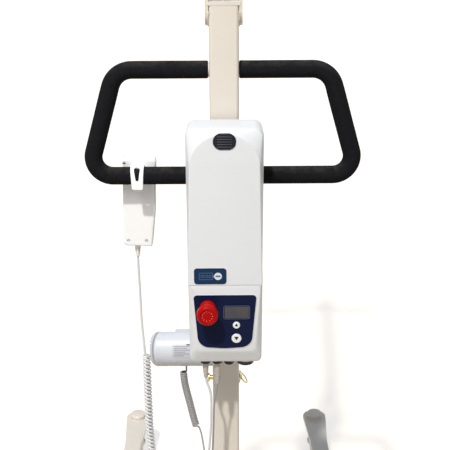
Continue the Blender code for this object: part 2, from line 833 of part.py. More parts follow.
def spreader(lift):
    """Hanger with its spindle, and the spreader bar with two end hooks and two inner hooks."""
    y, z = on_boom(BOOM_L, 0)
    axis = empty("hanger_axis", (0, y, z), parent=lift)
    eye = rod_shape(HANGER_EYE_R, "x", -HANGER_EYE_W / 2, HANGER_EYE_W / 2)
    spindle_end = -HANGER_DROP - 2 * SPREADER_R - 0.012
    spindle = turned(
        [
            (0.012, -0.006),
            (0.012, -HANGER_DROP + 0.012),
            (SPINDLE_R, -HANGER_DROP + 0.008),
            (SPINDLE_R, spindle_end + 0.008),
            (SPINDLE_R + 0.005, spindle_end + 0.008),
            (SPINDLE_R + 0.005, spindle_end),
        ],
        "z",
    )
    bore = rod_shape(HANGER_PIN_R + 2 * RUN, "x", -0.05, 0.05, sides=SMALL_ROUND)
    piece("hanger", cut(joined(eye, spindle), bore), bright_steel(), axis)

    half = spreader_path()
    whole = [Vector((-p.x, 0, p.z)) for p in reversed(half)] + half
    path = bent_path(whole, 0.011, 2)
    bar = swept(path, (0, 1, 0), circle((0, 0), SPREADER_R, 8))
    top = -HANGER_DROP + 0.004
    hub = rod_shape(0.021, "z", -HANGER_DROP - 2 * SPREADER_R - 0.002, top)
    parts = [hub]
    for side in (-1, 1):
        parts.append(prism(inner_hook_outline(side), "y", -HOOK_T / 2, HOOK_T / 2))
    bore = rod_shape(SPINDLE_R + RUN, "z", -0.3, 0.1)
    shape = cut(joined(bar, *parts), bore)
    piece("spreader_bar", shape, cream_paint(), axis)
    for side, word in ((-1, "left"), (1, "right")):
        keeper(word, axis, side)


def inner_hook_outline(side):
    """A flat hook under the bar that opens outwards, drawn as a J in X and Z."""
    root = -HANGER_DROP - SPREADER_R - 0.0195
    low = root - HOOK_DROP
    floor = low + HOOK_FLOOR
    lip = floor + HOOK_LIP_RISE
    inner, mouth = HOOK_AT - HOOK_SHANK, HOOK_AT + HOOK_MOUTH
    outer = mouth + HOOK_LIP
    points = [
        (inner, root),
        (inner, low),
        (outer, low),
        (outer, lip),
        (mouth, lip),
        (mouth, floor),
        (HOOK_AT, floor),
        (HOOK_AT, root),
    ]
    radii = [0.001, 0.020, 0.018, 0.004, 0.004, 0.010, 0.010, 0.001]
    return [Vector((side * p.x, p.y)) for p in filleted(points, radii, 2)]


def keeper(word, axis, side):
    """The sprung plastic tongue that closes an end hook."""
    low = -HANGER_DROP - SPREADER_R - SPREADER_SAG
    root = Vector((side * KEEPER_X, low + KEEPER_RISE))
    tip = Vector((side * (SPREADER_HALF - SPREADER_R - 0.008), low + HOOK_RISE - 0.004))
    outline = strap(root, KEEPER_R, tip, KEEPER_R * 0.6, 4)
    local = [p - root for p in outline]
    mesh = prism(local, "y", -KEEPER_W / 2, KEEPER_W / 2)
    piece("hook_keeper_" + word, mesh, black_plastic(), axis, (root.x, 0, root.y))


def clevis_to_lug():
    """The actuator's length between its pivots and its lean from the vertical, at rest."""
    y, z = on_boom(LUG_AT, -LUG_DROP)
    along = Vector((y - CLEVIS_Y, z - CLEVIS_Z))
    return along.length, math.atan2(along.x, along.y)


def actuator(lift):
    """Bracket on the mast, clevis pin and linch pin, motor housing, outer tube and rod."""
    length, lean = clevis_to_lug()
    ear_inner = CLEVIS_EYE_W / 2 + BRIDGE
    back = MAST_SIDE / 2 + SEAT
    plate = block((-0.024, back, CLEVIS_Z - 0.046), (0.024, back + CLEVIS_EAR_T, CLEVIS_Z + 0.011))
    ears = []
    for side in (-1, 1):
        low, high = sorted((side * ear_inner, side * (ear_inner + CLEVIS_EAR_T)))
        outline = strap((back + 0.022, CLEVIS_Z - 0.012), 0.021, (CLEVIS_Y, CLEVIS_Z), CLEVIS_EAR_R, 5)
        ears.append(prism([Vector((max(p.x, back + 0.002), p.y)) for p in outline], "x", low, high))
    hole = rod_shape(CLEVIS_PIN_R + SEAT, "x", -0.1, 0.1, (0, CLEVIS_Y, CLEVIS_Z), SMALL_ROUND)
    piece("actuator_bracket", cut(joined(plate, *ears), hole), cream_paint(), lift)

    half = CLEVIS_PIN_L / 2
    pin = turned(
        [
            (CLEVIS_HEAD_R - 0.001, -half - CLEVIS_HEAD_T),
            (CLEVIS_HEAD_R, -half - CLEVIS_HEAD_T + 0.001),
            (CLEVIS_HEAD_R, -half),
            (CLEVIS_PIN_R, -half),
            (CLEVIS_PIN_R, half - 0.001),
            (CLEVIS_PIN_R - 0.001, half),
        ],
        "x",
        sides=SMALL_ROUND,
    )
    linch_x = half - 0.006
    linch_hole = rod_shape(LINCH_R + SEAT, "z", -0.02, 0.02, (linch_x, 0, 0), 8)
    piece("clevis_pin", cut(pin, linch_hole), zinc(), lift, (0, CLEVIS_Y, CLEVIS_Z))
    linch_at = empty("linch_seat", (linch_x, CLEVIS_Y, CLEVIS_Z), parent=lift)
    linch = joined(
        rod_shape(LINCH_R, "z", -LINCH_L / 2, LINCH_L / 2 - 0.002, sides=8),
        rod_shape(LINCH_HEAD_R, "z", CLEVIS_PIN_R + SEAT, CLEVIS_PIN_R + LINCH_HEAD_H, sides=SMALL_ROUND),
    )
    piece("linch_pin", linch, zinc(), linch_at)
    linch_ring(linch_at)

    axis = empty("actuator_axis", (0, CLEVIS_Y, CLEVIS_Z), (-lean, 0, 0), lift)
    motor_housing(axis)
    bore_r = ROD_R + RUN
    tube = turned(
        [
            (0.004, ACT_TUBE_START),
            (ACT_TUBE_R, ACT_TUBE_START),
            (ACT_TUBE_R, ACT_TUBE_END - 0.022),
            (ACT_TUBE_R + 0.0015, ACT_TUBE_END - 0.020),
            (ACT_TUBE_R + 0.0015, ACT_TUBE_END - 0.003),
            (ACT_TUBE_R - 0.002, ACT_TUBE_END),
            (bore_r, ACT_TUBE_END),
            (bore_r, length - ROD_L - 0.235),
            (0.004, length - ROD_L - 0.235),
        ],
        "z",
    )
    piece("actuator_tube", tube, bright_steel(), axis)
    neck_r = ROD_R - 0.002
    rod = turned(
        [(ROD_R, length - ROD_L), (ROD_R, length - 0.028), (neck_r, length - 0.020), (neck_r, length - 0.008)],
        "z",
    )
    eye = rod_shape(ROD_EYE_R, "x", -ROD_EYE_W / 2, ROD_EYE_W / 2, (0, 0, length))
    hole = rod_shape(0.0065, "x", -0.1, 0.1, (0, 0, length), SMALL_ROUND)
    piece("actuator_rod", cut(joined(rod, eye), hole), bright_steel(), axis)


def linch_ring(parent):
    """The sprung wire ring on the linch pin's head, which snaps over the clevis pin's end."""
    at = Vector((0, 0, CLEVIS_PIN_R + LINCH_HEAD_H / 2))
    start = math.asin((LINCH_HEAD_R + SEAT) / (LINCH_RING_R - LINCH_WIRE_R))
    steps = 12
    loop = []
    for i in range(steps + 1):
        turn = start + (math.tau - 2 * start) * i / steps
        out = Vector((0, math.sin(turn), math.cos(turn)))
        loop.append(Vector((0, 0, LINCH_RING_R)) - LINCH_RING_R * out)
    lean = Matrix.Rotation(math.radians(-38), 4, "Y")
    path = [lean @ Vector((p.x, p.y, -p.z)) for p in loop]
    ring = swept(path, lean @ Vector((1, 0, 0)), circle((0, 0), LINCH_WIRE_R, 6))
    piece("linch_ring", ring, zinc(), parent, at)


def motor_housing(axis):
    """Gear housing with the rear eye, and the motor that lies across it and reaches to the left."""
    motor = turned(
        [
            (MOTOR_R - 0.023, -MOTOR_LEFT),
            (MOTOR_R - MOTOR_CHAMFER, -MOTOR_LEFT + MOTOR_DOME),
            (MOTOR_R, -MOTOR_LEFT + MOTOR_DOME + MOTOR_CHAMFER * 0.6),
            (MOTOR_R, MOTOR_RIGHT - 0.006),
            (MOTOR_R - 0.005, MOTOR_RIGHT),
        ],
        "x",
        (0, 0, MOTOR_RISE),
        20,
    )
    eye = rod_shape(CLEVIS_EAR_R, "x", -CLEVIS_EYE_W / 2, CLEVIS_EYE_W / 2)
    neck = prism(strap((0, 0), CLEVIS_EAR_R - 0.003, (0, MOTOR_RISE), 0.020, 5), "x", -0.0120, 0.0120)
    gear = turned(
        [(0.024, MOTOR_RISE), (0.030, MOTOR_RISE + 0.006), (0.030, GEAR_TOP - 0.005), (0.025, GEAR_TOP)],
        "z",
        sides=16,
        phase=math.pi / 16,
    )
    cover = block((-0.1045, -0.020, MOTOR_RISE + 0.010), (-0.060, 0.020, MOTOR_RISE + MOTOR_R + 0.008))
    cover = eased(cover, 0.003, 1)
    gland = rod_shape(0.0045, "z", MOTOR_RISE - MOTOR_R - 0.004, MOTOR_RISE, (-CABLE_EXIT, 0, 0), 8)
    hole = rod_shape(CLEVIS_PIN_R + RUN, "x", -0.1, 0.1, sides=SMALL_ROUND)
    shape = cut(joined(motor, eye, neck, gear, cover, gland), hole)
    piece("motor_housing", shape, white_case(), axis)


def unit_bracket(lift):
    """The steel plate between the mast and the two cases of the control unit."""
    back = UNIT_BACK + SEAT
    plate = prism(
        rounded(BRACKET_W, UNIT_TOP - UNIT_BOTTOM - 0.060, 0.008, (0, (UNIT_TOP + UNIT_BOTTOM) / 2 - 0.005)),
        "y",
        back,
        back + BRACKET_T,
    )
    feet = [
        block((-0.021, back + 0.001, z - 0.025), (0.021, -MAST_SIDE / 2 - SEAT, z + 0.025))
        for z in (UNIT_BOTTOM + 0.075, UNIT_TOP - 0.080)
    ]
    piece("unit_bracket", joined(plate, *feet), cream_paint(), lift)


def control_box(lift):
    """The lower case, with pockets behind the stop and the buttons and a boss for the large socket."""
    top = UNIT_SEAM - 0.0004
    sections = (
        (UNIT_BACK, 0.004, 0.010),
        (UNIT_BACK - 0.004, 0.0, 0.014),
        (UNIT_FRONT + 0.008, 0.0, 0.014),
        (UNIT_FRONT + 0.0024, 0.0024, 0.0150),
        (UNIT_FRONT, 0.0075, 0.018),
    )
    rings = []
    for y, inset, low_r in sections:
        half = UNIT_W / 2 - inset
        corners = ((-half, UNIT_BOTTOM + inset), (half, UNIT_BOTTOM + inset), (half, top), (-half, top))
        outline = filleted(corners, (low_r, low_r, 0.0008, 0.0008), 4)
        rings.append([Vector((p.x, y, p.y)) for p in outline])
    shape = skinned(rings)
    disc = rod_shape(
        LARGE_SOCKET_R, "z", UNIT_BOTTOM - 0.006, UNIT_BOTTOM + 0.004, (LARGE_SOCKET_X, SOCKET_Y, 0), 16
    )
    shape = joined(shape, disc)
    pockets = [
        rod_shape(radius + RUN, "y", UNIT_FRONT - 0.01, UNIT_FRONT + 0.012, (x, 0, z), 14)
        for radius, x, z in PANEL_HOLES
    ]
    piece("control_box", cut(shape, *pockets), white_case(), lift)


def arch_outline(inset, steps):
    """The battery's raised front: straight sides that run up into a round arch."""
    half = ARCH_HALF - inset
    low = UNIT_SEAM + 0.0004
    points = [Vector((-half, low)), Vector((half, low))]
    for i in range(steps + 1):
        turn = math.pi * i / steps
        points.append(Vector((half * math.cos(turn), ARCH_SPRING + (ARCH_RISE - inset) * math.sin(turn))))
    return points


def battery_outline(inset, steps):
    """The battery case's outline with as many points as its arch, from the low left corner round."""
    half = UNIT_W / 2 - inset
    low, high = UNIT_SEAM + 0.0004, UNIT_TOP - inset
    points = [Vector((-half, low)), Vector((half, low))]
    radius = UNIT_TOP_ROUND - inset / 2
    corner_steps = (steps - 1) // 2
    for side, start in ((1, 0.0), (-1, math.pi / 2)):
        for i in range(corner_steps + 1):
            turn = start + math.pi / 2 * i / corner_steps
            centre = Vector((side * (half - radius), high - radius))
            points.append(centre + radius * Vector((math.cos(turn), math.sin(turn))))
    return points


def battery_pack(lift):
    """The removable battery case: a rounded box whose front rises to an arch, with the grip's pocket."""
    steps = 13
    case = [(UNIT_BACK, 0.004), (UNIT_BACK - 0.004, 0.0), (UNIT_FRONT + BATTERY_SHOULDER, 0.0)]
    rings = [[Vector((p.x, y, p.y)) for p in battery_outline(inset, steps)] for y, inset in case]
    edge = battery_outline(0.0025, steps)
    rings.append([Vector((p.x, UNIT_FRONT + BATTERY_SHOULDER * 0.6, p.y)) for p in edge])
    for y, inset in ((UNIT_FRONT + 0.0015, 0.0), (UNIT_FRONT, 0.002)):
        rings.append([Vector((p.x, y, p.y)) for p in arch_outline(inset, steps)])
    pocket = prism(
        rounded(GRIP_W + 2 * RUN, GRIP_H + 2 * RUN, (GRIP_H + 2 * RUN) / 2 - 0.0005, (0, GRIP_Z), 4),
        "y",
        UNIT_FRONT - 0.02,
        UNIT_FRONT + GRIP_DEPTH + GRIP_PRESS + RUN,
    )
    piece("battery_pack", cut(skinned(rings), pocket), white_case(), lift)


def battery_grip(lift):
    """The ribbed oval catch that is pressed to free the battery."""
    oval = prism(
        rounded(GRIP_W, GRIP_H, GRIP_H / 2 - 0.0005, (0, 0), 4), "y", -GRIP_STAND, GRIP_DEPTH
    )
    ribs = 5
    pitch = (GRIP_H - 0.004) / ribs
    face = []
    for i in range(ribs):
        low = -GRIP_H / 2 + 0.002 + i * pitch
        face += [(-GRIP_STAND + 0.0018, low), (-GRIP_STAND + 0.0002, low + pitch * 0.25)]
        face += [(-GRIP_STAND + 0.0002, low + pitch * 0.55), (-GRIP_STAND + 0.0018, low + pitch * 0.8)]
    profile = [(GRIP_DEPTH + 0.01, -0.03), (-GRIP_STAND + 0.0018, -0.03), *face]
    profile += [(-GRIP_STAND + 0.0018, 0.03), (GRIP_DEPTH + 0.01, 0.03)]
    ribbed = prism([Vector(p) for p in profile], "x", -0.03, 0.03)
    mesh = combined(oval, [ribbed], "INTERSECT")
    piece("battery_grip", mesh, black_plastic(), lift, (0, UNIT_FRONT, GRIP_Z))


def control_face(lift):
    """Panel film, display window, stop button, and the up and down buttons."""
    face = UNIT_FRONT - SEAT
    corners = (
        (-PANEL_LOW_HALF + 0.002, PANEL_BOTTOM + 0.006),
        (0, PANEL_BOTTOM),
        (PANEL_LOW_HALF - 0.002, PANEL_BOTTOM + 0.006),
        (PANEL_TOP_HALF, PANEL_TOP),
        (-PANEL_TOP_HALF, PANEL_TOP),
    )
    film = prism(filleted(corners, (0.020, 0.080, 0.020, 0.005, 0.005), 5), "y", face - PANEL_T, face)
    holes = [
        rod_shape(radius + RUN, "y", face - 0.01, face + 0.01, (x, 0, z), 14)
        for radius, x, z in PANEL_HOLES
    ]
    piece("control_panel", cut(film, *holes), navy_film(), lift)

    front = face - PANEL_T - SEAT
    glass = rounded(WINDOW_W, WINDOW_H, 0.0025, (WINDOW_X, WINDOW_Z))
    window = prism(glass, "y", front - WINDOW_T, front)
    piece("display_window", window, display_glass(), lift)

    collar = turned(
        [
            (STOP_STEM_R + RUN, front),
            (STOP_COLLAR_R, front),
            (STOP_COLLAR_R, front - STOP_COLLAR_L + 0.001),
            (STOP_COLLAR_R - 0.001, front - STOP_COLLAR_L),
            (STOP_STEM_R + RUN, front - STOP_COLLAR_L),
        ],
        "y",
        (STOP_X, 0, STOP_Z),
        14,
        looped=True,
    )
    piece("stop_collar", collar, stop_red(), lift)
    head_back = front - STOP_COLLAR_L - STOP_PRESS - RUN
    stem_end = head_back - STOP_HEAD_L + 0.004
    stem = rod_shape(STOP_STEM_R, "y", stem_end, UNIT_FRONT + 0.005, sides=14)
    piece("stop_stem", stem, stop_red(), lift, (STOP_X, 0, STOP_Z))
    head = turned(
        [
            (STOP_STEM_R + SEAT, head_back),
            (STOP_HEAD_R - 0.003, head_back),
            (STOP_HEAD_R, head_back - 0.003),
            (STOP_HEAD_R, head_back - STOP_HEAD_L * 0.62),
            (STOP_HEAD_R - 0.0050, head_back - STOP_HEAD_L),
            (0.001, head_back - STOP_HEAD_L + 0.0008),
            (0.001, stem_end - SEAT),
            (STOP_STEM_R + SEAT, stem_end - SEAT),
        ],
        "y",
        sides=14,
        looped=True,
    )
    piece("stop_head", head, stop_red(), lift, (STOP_X, 0, STOP_Z))
    for name, radius, z in (("up_button", UP_R, UP_Z), ("down_button", DOWN_R, DOWN_Z)):
        button = turned(
            [
                (radius - 0.0008, -BUTTON_STAND),
                (radius, -BUTTON_STAND + 0.0008),
                (radius, BUTTON_DEPTH),
            ],
            "y",
            sides=14,
        )
        piece(name, button, white_button(), lift, (BUTTON_X, face - PANEL_T, z))


def connectors(lift):
    """The black connector strip under the control box, its blank plug and the two cable plugs."""
    top = UNIT_BOTTOM - SEAT
    width = SOCKET_X[2] - SOCKET_X[0] + 2 * SOCKET_R + 0.002
    strip = prism(
        rounded(width, 0.022, 0.006, (SOCKET_X[1], SOCKET_Y)),
        "z",
        top - SOCKET_PLATE_T,
        top,
    )
    collars = [
        turned(
            [
                (SOCKET_R, top - 0.001),
                (SOCKET_R, UNIT_BOTTOM - SOCKET_DROP + 0.001),
                (SOCKET_R - 0.001, UNIT_BOTTOM - SOCKET_DROP),
            ],
            "z",
            (x, SOCKET_Y, 0),
            PLUG_SIDES,
        )
        for x in SOCKET_X
    ]
    bores = [
        rod_shape(SOCKET_BORE, "z", UNIT_BOTTOM - 0.05, top - 0.002, (x, SOCKET_Y, 0), PLUG_SIDES)
        for x in SOCKET_X
    ]
    piece("connector_strip", cut(joined(strip, *collars), *bores), black_plastic(), lift)
    large_top = UNIT_BOTTOM - 0.006 - SEAT
    large = turned(
        [
            (0.0105, large_top - 0.004),
            (LARGE_SOCKET_R, large_top - 0.004),
            (LARGE_SOCKET_R, UNIT_BOTTOM - SOCKET_DROP),
            (0.0105, UNIT_BOTTOM - SOCKET_DROP),
        ],
        "z",
        (LARGE_SOCKET_X, SOCKET_Y, 0),
        16,
        looped=True,
    )
    floor = rod_shape(LARGE_SOCKET_R, "z", large_top - 0.0045, large_top, (LARGE_SOCKET_X, SOCKET_Y, 0), 16)
    piece("charger_socket", joined(large, floor), black_plastic(), lift)
    blank = turned(
        [
            (PLUG_R, top - 0.004),
            (PLUG_R, UNIT_BOTTOM - SOCKET_DROP - SEAT),
            (SOCKET_R - 0.001, UNIT_BOTTOM - SOCKET_DROP - SEAT),
            (SOCKET_R - 0.0015, UNIT_BOTTOM - SOCKET_DROP - 0.002),
        ],
        "z",
        (SOCKET_X[2], SOCKET_Y, 0),
        PLUG_SIDES,
    )
    piece("blank_plug", blank, black_plastic(), lift)
    mouth = UNIT_BOTTOM - SOCKET_DROP
    plug(lift, "handset_plug", SOCKET_X[0], [(PLUG_R - 0.0005, mouth), (0.0036, mouth - 0.031)])
    ribs = [(PLUG_R, mouth), (PLUG_R, mouth - 0.020)]
    for i in range(3):
        z = mouth - 0.022 - i * 0.0075
        ribs += [(0.0048, z), (0.0058, z - 0.002), (0.0058, z - 0.004)]
    plug(lift, "actuator_plug", SOCKET_X[1], [*ribs, (0.0030, mouth - 0.046)])


def plug(lift, name, x, tail):
    """A cable plug whose nose sits in its socket's bore; the tail tapers down to the cable."""
    top = UNIT_BOTTOM - SEAT - 0.004
    mesh = turned([(PLUG_R, top), (PLUG_R, tail[0][1]), *tail[1:]], "z", (x, SOCKET_Y, 0), PLUG_SIDES)
    piece(name, mesh, grey_plastic(), lift)


def handle_path(side, top_start, low_end):
    """One C of the push handle, from beside the mast at the top round to beside it at the bottom."""
    corners = (
        (side * top_start, 0, HANDLE_TOP_Z),
        (HANDLE_OFFSET + side * HANDLE_TOP_HALF, 0, HANDLE_TOP_Z),
        (HANDLE_OFFSET + side * HANDLE_LOW_HALF, 0, HANDLE_LOW_Z),
        (side * low_end, 0, HANDLE_LOW_Z),
    )
    return bent_path(corners, HANDLE_BEND, 3)


def push_handle(lift):
    """Two steel Cs welded to the mast's sides, each in a sleeve of black foam."""
    beside = MAST_SIDE / 2 + SEAT
    for side, word, gap in ((-1, "left", FOAM_LEFT_GAP), (1, "right", SEAT)):
        steel = swept(handle_path(side, beside, beside), (0, 1, 0), circle((0, 0), HANDLE_R, 10))
        piece("handle_" + word, steel, cream_paint(), lift)
        route = handle_path(side, beside + gap, FOAM_LOW_END)
        foam = swept(
            route, (0, 1, 0), circle((0, 0), FOAM_R, 10), circle((0, 0), HANDLE_R + SEAT, 10)
        )
        piece("handle_foam_" + word, foam, black_foam(), lift)


def handset_outline(inset):
    """The handset from behind, in X and Z: flared top, one tapered side and one cut low corner."""
    top, low = HANDSET_TOP - inset, HANDSET_BOTTOM + inset
    half = HANDSET_HALF - inset
    flared = half + HANDSET_FLARE
    corners = (
        (-half, low + 0.0035),
        (-half + 0.007, low),
        (half - HANDSET_TAPER, low),
        (half, low + 0.070),
        (half, top - 0.038),
        (flared, top),
        (-flared, top),
        (-half, top - 0.038),
    )
    return filleted(corners, (0.002, 0.002, 0.003, 0.060, 0.040, 0.005, 0.005, 0.040), 2)


def handset(lift):
    """Two shells, hook, keys and strain relief, leaning a little as they hang on the low bar."""
    centre = Vector((HANDSET_X, 0, HANDLE_LOW_Z))
    lean = (
        Matrix.Translation(centre)
        @ Matrix.Rotation(HANDSET_TILT, 4, "Y")
        @ Matrix.Translation((0, 0, -HANDLE_LOW_Z))
    )
    edge = 0.003
    halves = (
        ("handset_back", HANDSET_BACK_Y, HANDSET_SPLIT_Y - SEAT / 2, 1),
        ("handset_front", HANDSET_FRONT_Y, HANDSET_SPLIT_Y + SEAT / 2, -1),
    )
    keys = ((0.0, HANDSET_TOP - 0.050, "handset_up_key"), (0.0, HANDSET_TOP - 0.085, "handset_down_key"))
    for name, face, split, inward in halves:
        sections = ((face, edge), (face + inward * edge, 0.0), (split, 0.0))
        rings = [[Vector((p.x, y, p.y)) for p in handset_outline(inset)] for y, inset in sections]
        shape = skinned(rings)
        if name == "handset_front":
            pockets = [
                rod_shape(KEY_R + RUN, "y", face - KEY_DEPTH - 0.0015, face + 0.02, (x, 0, z))
                for x, z, _ in keys
            ]
            shape = cut(shape, *pockets)
        shape.transform(lean)
        piece(name, shape, white_case(), lift)
    for x, z, name in keys:
        key = turned([(KEY_R, -KEY_DEPTH), (KEY_R, KEY_STAND - 0.0006), (KEY_R - 0.0008, KEY_STAND)], "y")
        at = lean @ Vector((x, HANDSET_FRONT_Y, z))
        piece(name, key, grey_plastic(), lift, at)
    hook = handset_hook()
    hook.transform(lean)
    piece("handset_hook", hook, white_case(), lift)
    relief = strain_relief()
    relief.transform(lean)
    piece("handset_strain_relief", relief, white_case(), lift)
    return lean


def handset_hook():
    """The flat tongue that comes up behind the bar, over it and down in front, with its teardrop hole."""
    reach = FOAM_R + 2 * SEAT + HOOK_STRIP_T / 2
    back = HANDSET_BACK_Y - SEAT - HOOK_STRIP_T / 2
    path = [Vector((0, back, HANDLE_LOW_Z - 0.014)), Vector((0, back, HANDLE_LOW_Z))]
    for i in range(1, 8):
        turn = math.pi * i / 8
        path.append(Vector((0, reach * math.cos(turn), HANDLE_LOW_Z + reach * math.sin(turn))))
    path += [Vector((0, -reach, HANDLE_LOW_Z)), Vector((0, -reach - 0.0012, HOOK_TIP_Z))]
    rings = []
    for i, point in enumerate(path):
        before, after = path[max(i - 1, 0)], path[min(i + 1, len(path) - 1)]
        out = (after - before).normalized().cross(Vector((1, 0, 0)))
        share = max(0.0, min(1.0, (i - 5) / (len(path) - 6)))
        half = (HOOK_W + (HOOK_TIP_W - HOOK_W) * share) / 2
        corners = ((-half, -0.5), (half, -0.5), (half, 0.5), (-half, 0.5))
        rings.append([point + Vector((x, 0, 0)) + out * (t * HOOK_STRIP_T) for x, t in corners])
    drop = strap((0, HANDLE_LOW_Z + 0.0085), TEAR_W / 2, (0, HANDLE_LOW_Z - 0.006), TEAR_W / 4, 4)
    return cut(skinned(rings), prism(drop, "y", -0.04, -0.004))


def strain_relief():
    low = HANDSET_BOTTOM - SEAT
    y = HANDSET_SPLIT_Y
    profile = [(RELIEF_R, low)]
    for i in range(2):
        z = low - 0.005 - i * 0.008
        r = RELIEF_R - (RELIEF_R - RELIEF_TIP_R) * (low - z) / RELIEF_L
        profile += [(r, z), (r - 0.0014, z - 0.0015), (r - 0.0004, z - 0.0035)]
    profile.append((RELIEF_TIP_R, low - RELIEF_L))
    return turned(profile, "z", (RELIEF_X, y, 0), SMALL_ROUND)


def smooth_route(points, spacing):
    """Evenly spaced points on a smooth curve through a route's own points."""
    p = [Vector(point) for point in points]
    p = [2 * p[0] - p[1], *p, 2 * p[-1] - p[-2]]
    dense = []
    for i in range(1, len(p) - 2):
        for k in range(24):
            t = k / 24
            dense.append(
                0.5
                * (
                    2 * p[i]
                    + (p[i + 1] - p[i - 1]) * t
                    + (2 * p[i - 1] - 5 * p[i] + 4 * p[i + 1] - p[i + 2]) * t**2
                    + (3 * p[i] - p[i - 1] - 3 * p[i + 1] + p[i + 2]) * t**3
                )
            )
    dense.append(p[-2])
    total = sum((b - a).length for a, b in zip(dense, dense[1:]))
    count = max(2, round(total / spacing))
    step = total / count
    even, walked, target = [dense[0]], 0.0, step
    for a, b in zip(dense, dense[1:]):
        length = (b - a).length
        while walked + length >= target - 1e-9 and len(even) < count:
            even.append(a.lerp(b, (target - walked) / length))
            target += step
        walked += length
    return [*even, dense[-1]], total


def wound(route, total, radius, turns, lead):
    """A helix round a route: straight at both ends for one lead, with the turns between."""
    count = turns * POINTS_PER_TURN
    points = []
    start = Vector(route[0])
    travel = (route[1] - route[0]).normalized()
    side = travel.orthogonal().normalized()
    frames = []
    for i, point in enumerate(route):
        ahead = (route[min(i + 1, len(route) - 1)] - route[max(i - 1, 0)]).normalized()
        side = (side - ahead * side.dot(ahead)).normalized()
        frames.append((point, ahead, side))
    for i in range(count + 1):
        share = (lead + (total - 2 * lead) * i / count) / total
        place = share * (len(frames) - 1)
        k = min(int(place), len(frames) - 2)
        f = place - k
        point = frames[k][0].lerp(frames[k + 1][0], f)
        ahead = frames[k][1].lerp(frames[k + 1][1], f).normalized()
        side = frames[k][2].lerp(frames[k + 1][2], f)
        side = (side - ahead * side.dot(ahead)).normalized()
        turn = math.tau * i / POINTS_PER_TURN
        ease = min(1.0, i / POINTS_PER_TURN, (count - i) / POINTS_PER_TURN)
        reach = radius * math.sin(ease * math.pi / 2)
        points.append(point + side * (reach * math.cos(turn)) + ahead.cross(side) * (reach * math.sin(turn)))
    return [start, *points, Vector(route[-1])]


def cord(name, points, radius, sides_level, lift, material):
    data = bpy.data.curves.new(name, "CURVE")
    data.dimensions = "3D"
    spline = data.splines.new("POLY")
    spline.points.add(len(points) - 1)
    for slot, point in zip(spline.points, points):
        slot.co = (*point, 1.0)
    data.bevel_depth = radius
    data.bevel_resolution = sides_level
    data.use_fill_caps = True
    data.materials.append(material)
    obj = bpy.data.objects.new(name, data)
    bpy.context.scene.collection.objects.link(obj)
    obj.parent = lift
    return obj


def least_gap(points, radius):
    """The least distance in mm between a tube's own surfaces, leaving out near neighbours along it."""
    skip = POINTS_PER_TURN - 2
    closest = 1.0
    for i in range(0, len(points), 2):
        for j in range(i + skip, min(i + 6 * skip, len(points))):
            closest = min(closest, (points[i] - points[j]).length)
    return round(1000 * (closest - 2 * radius), 2)


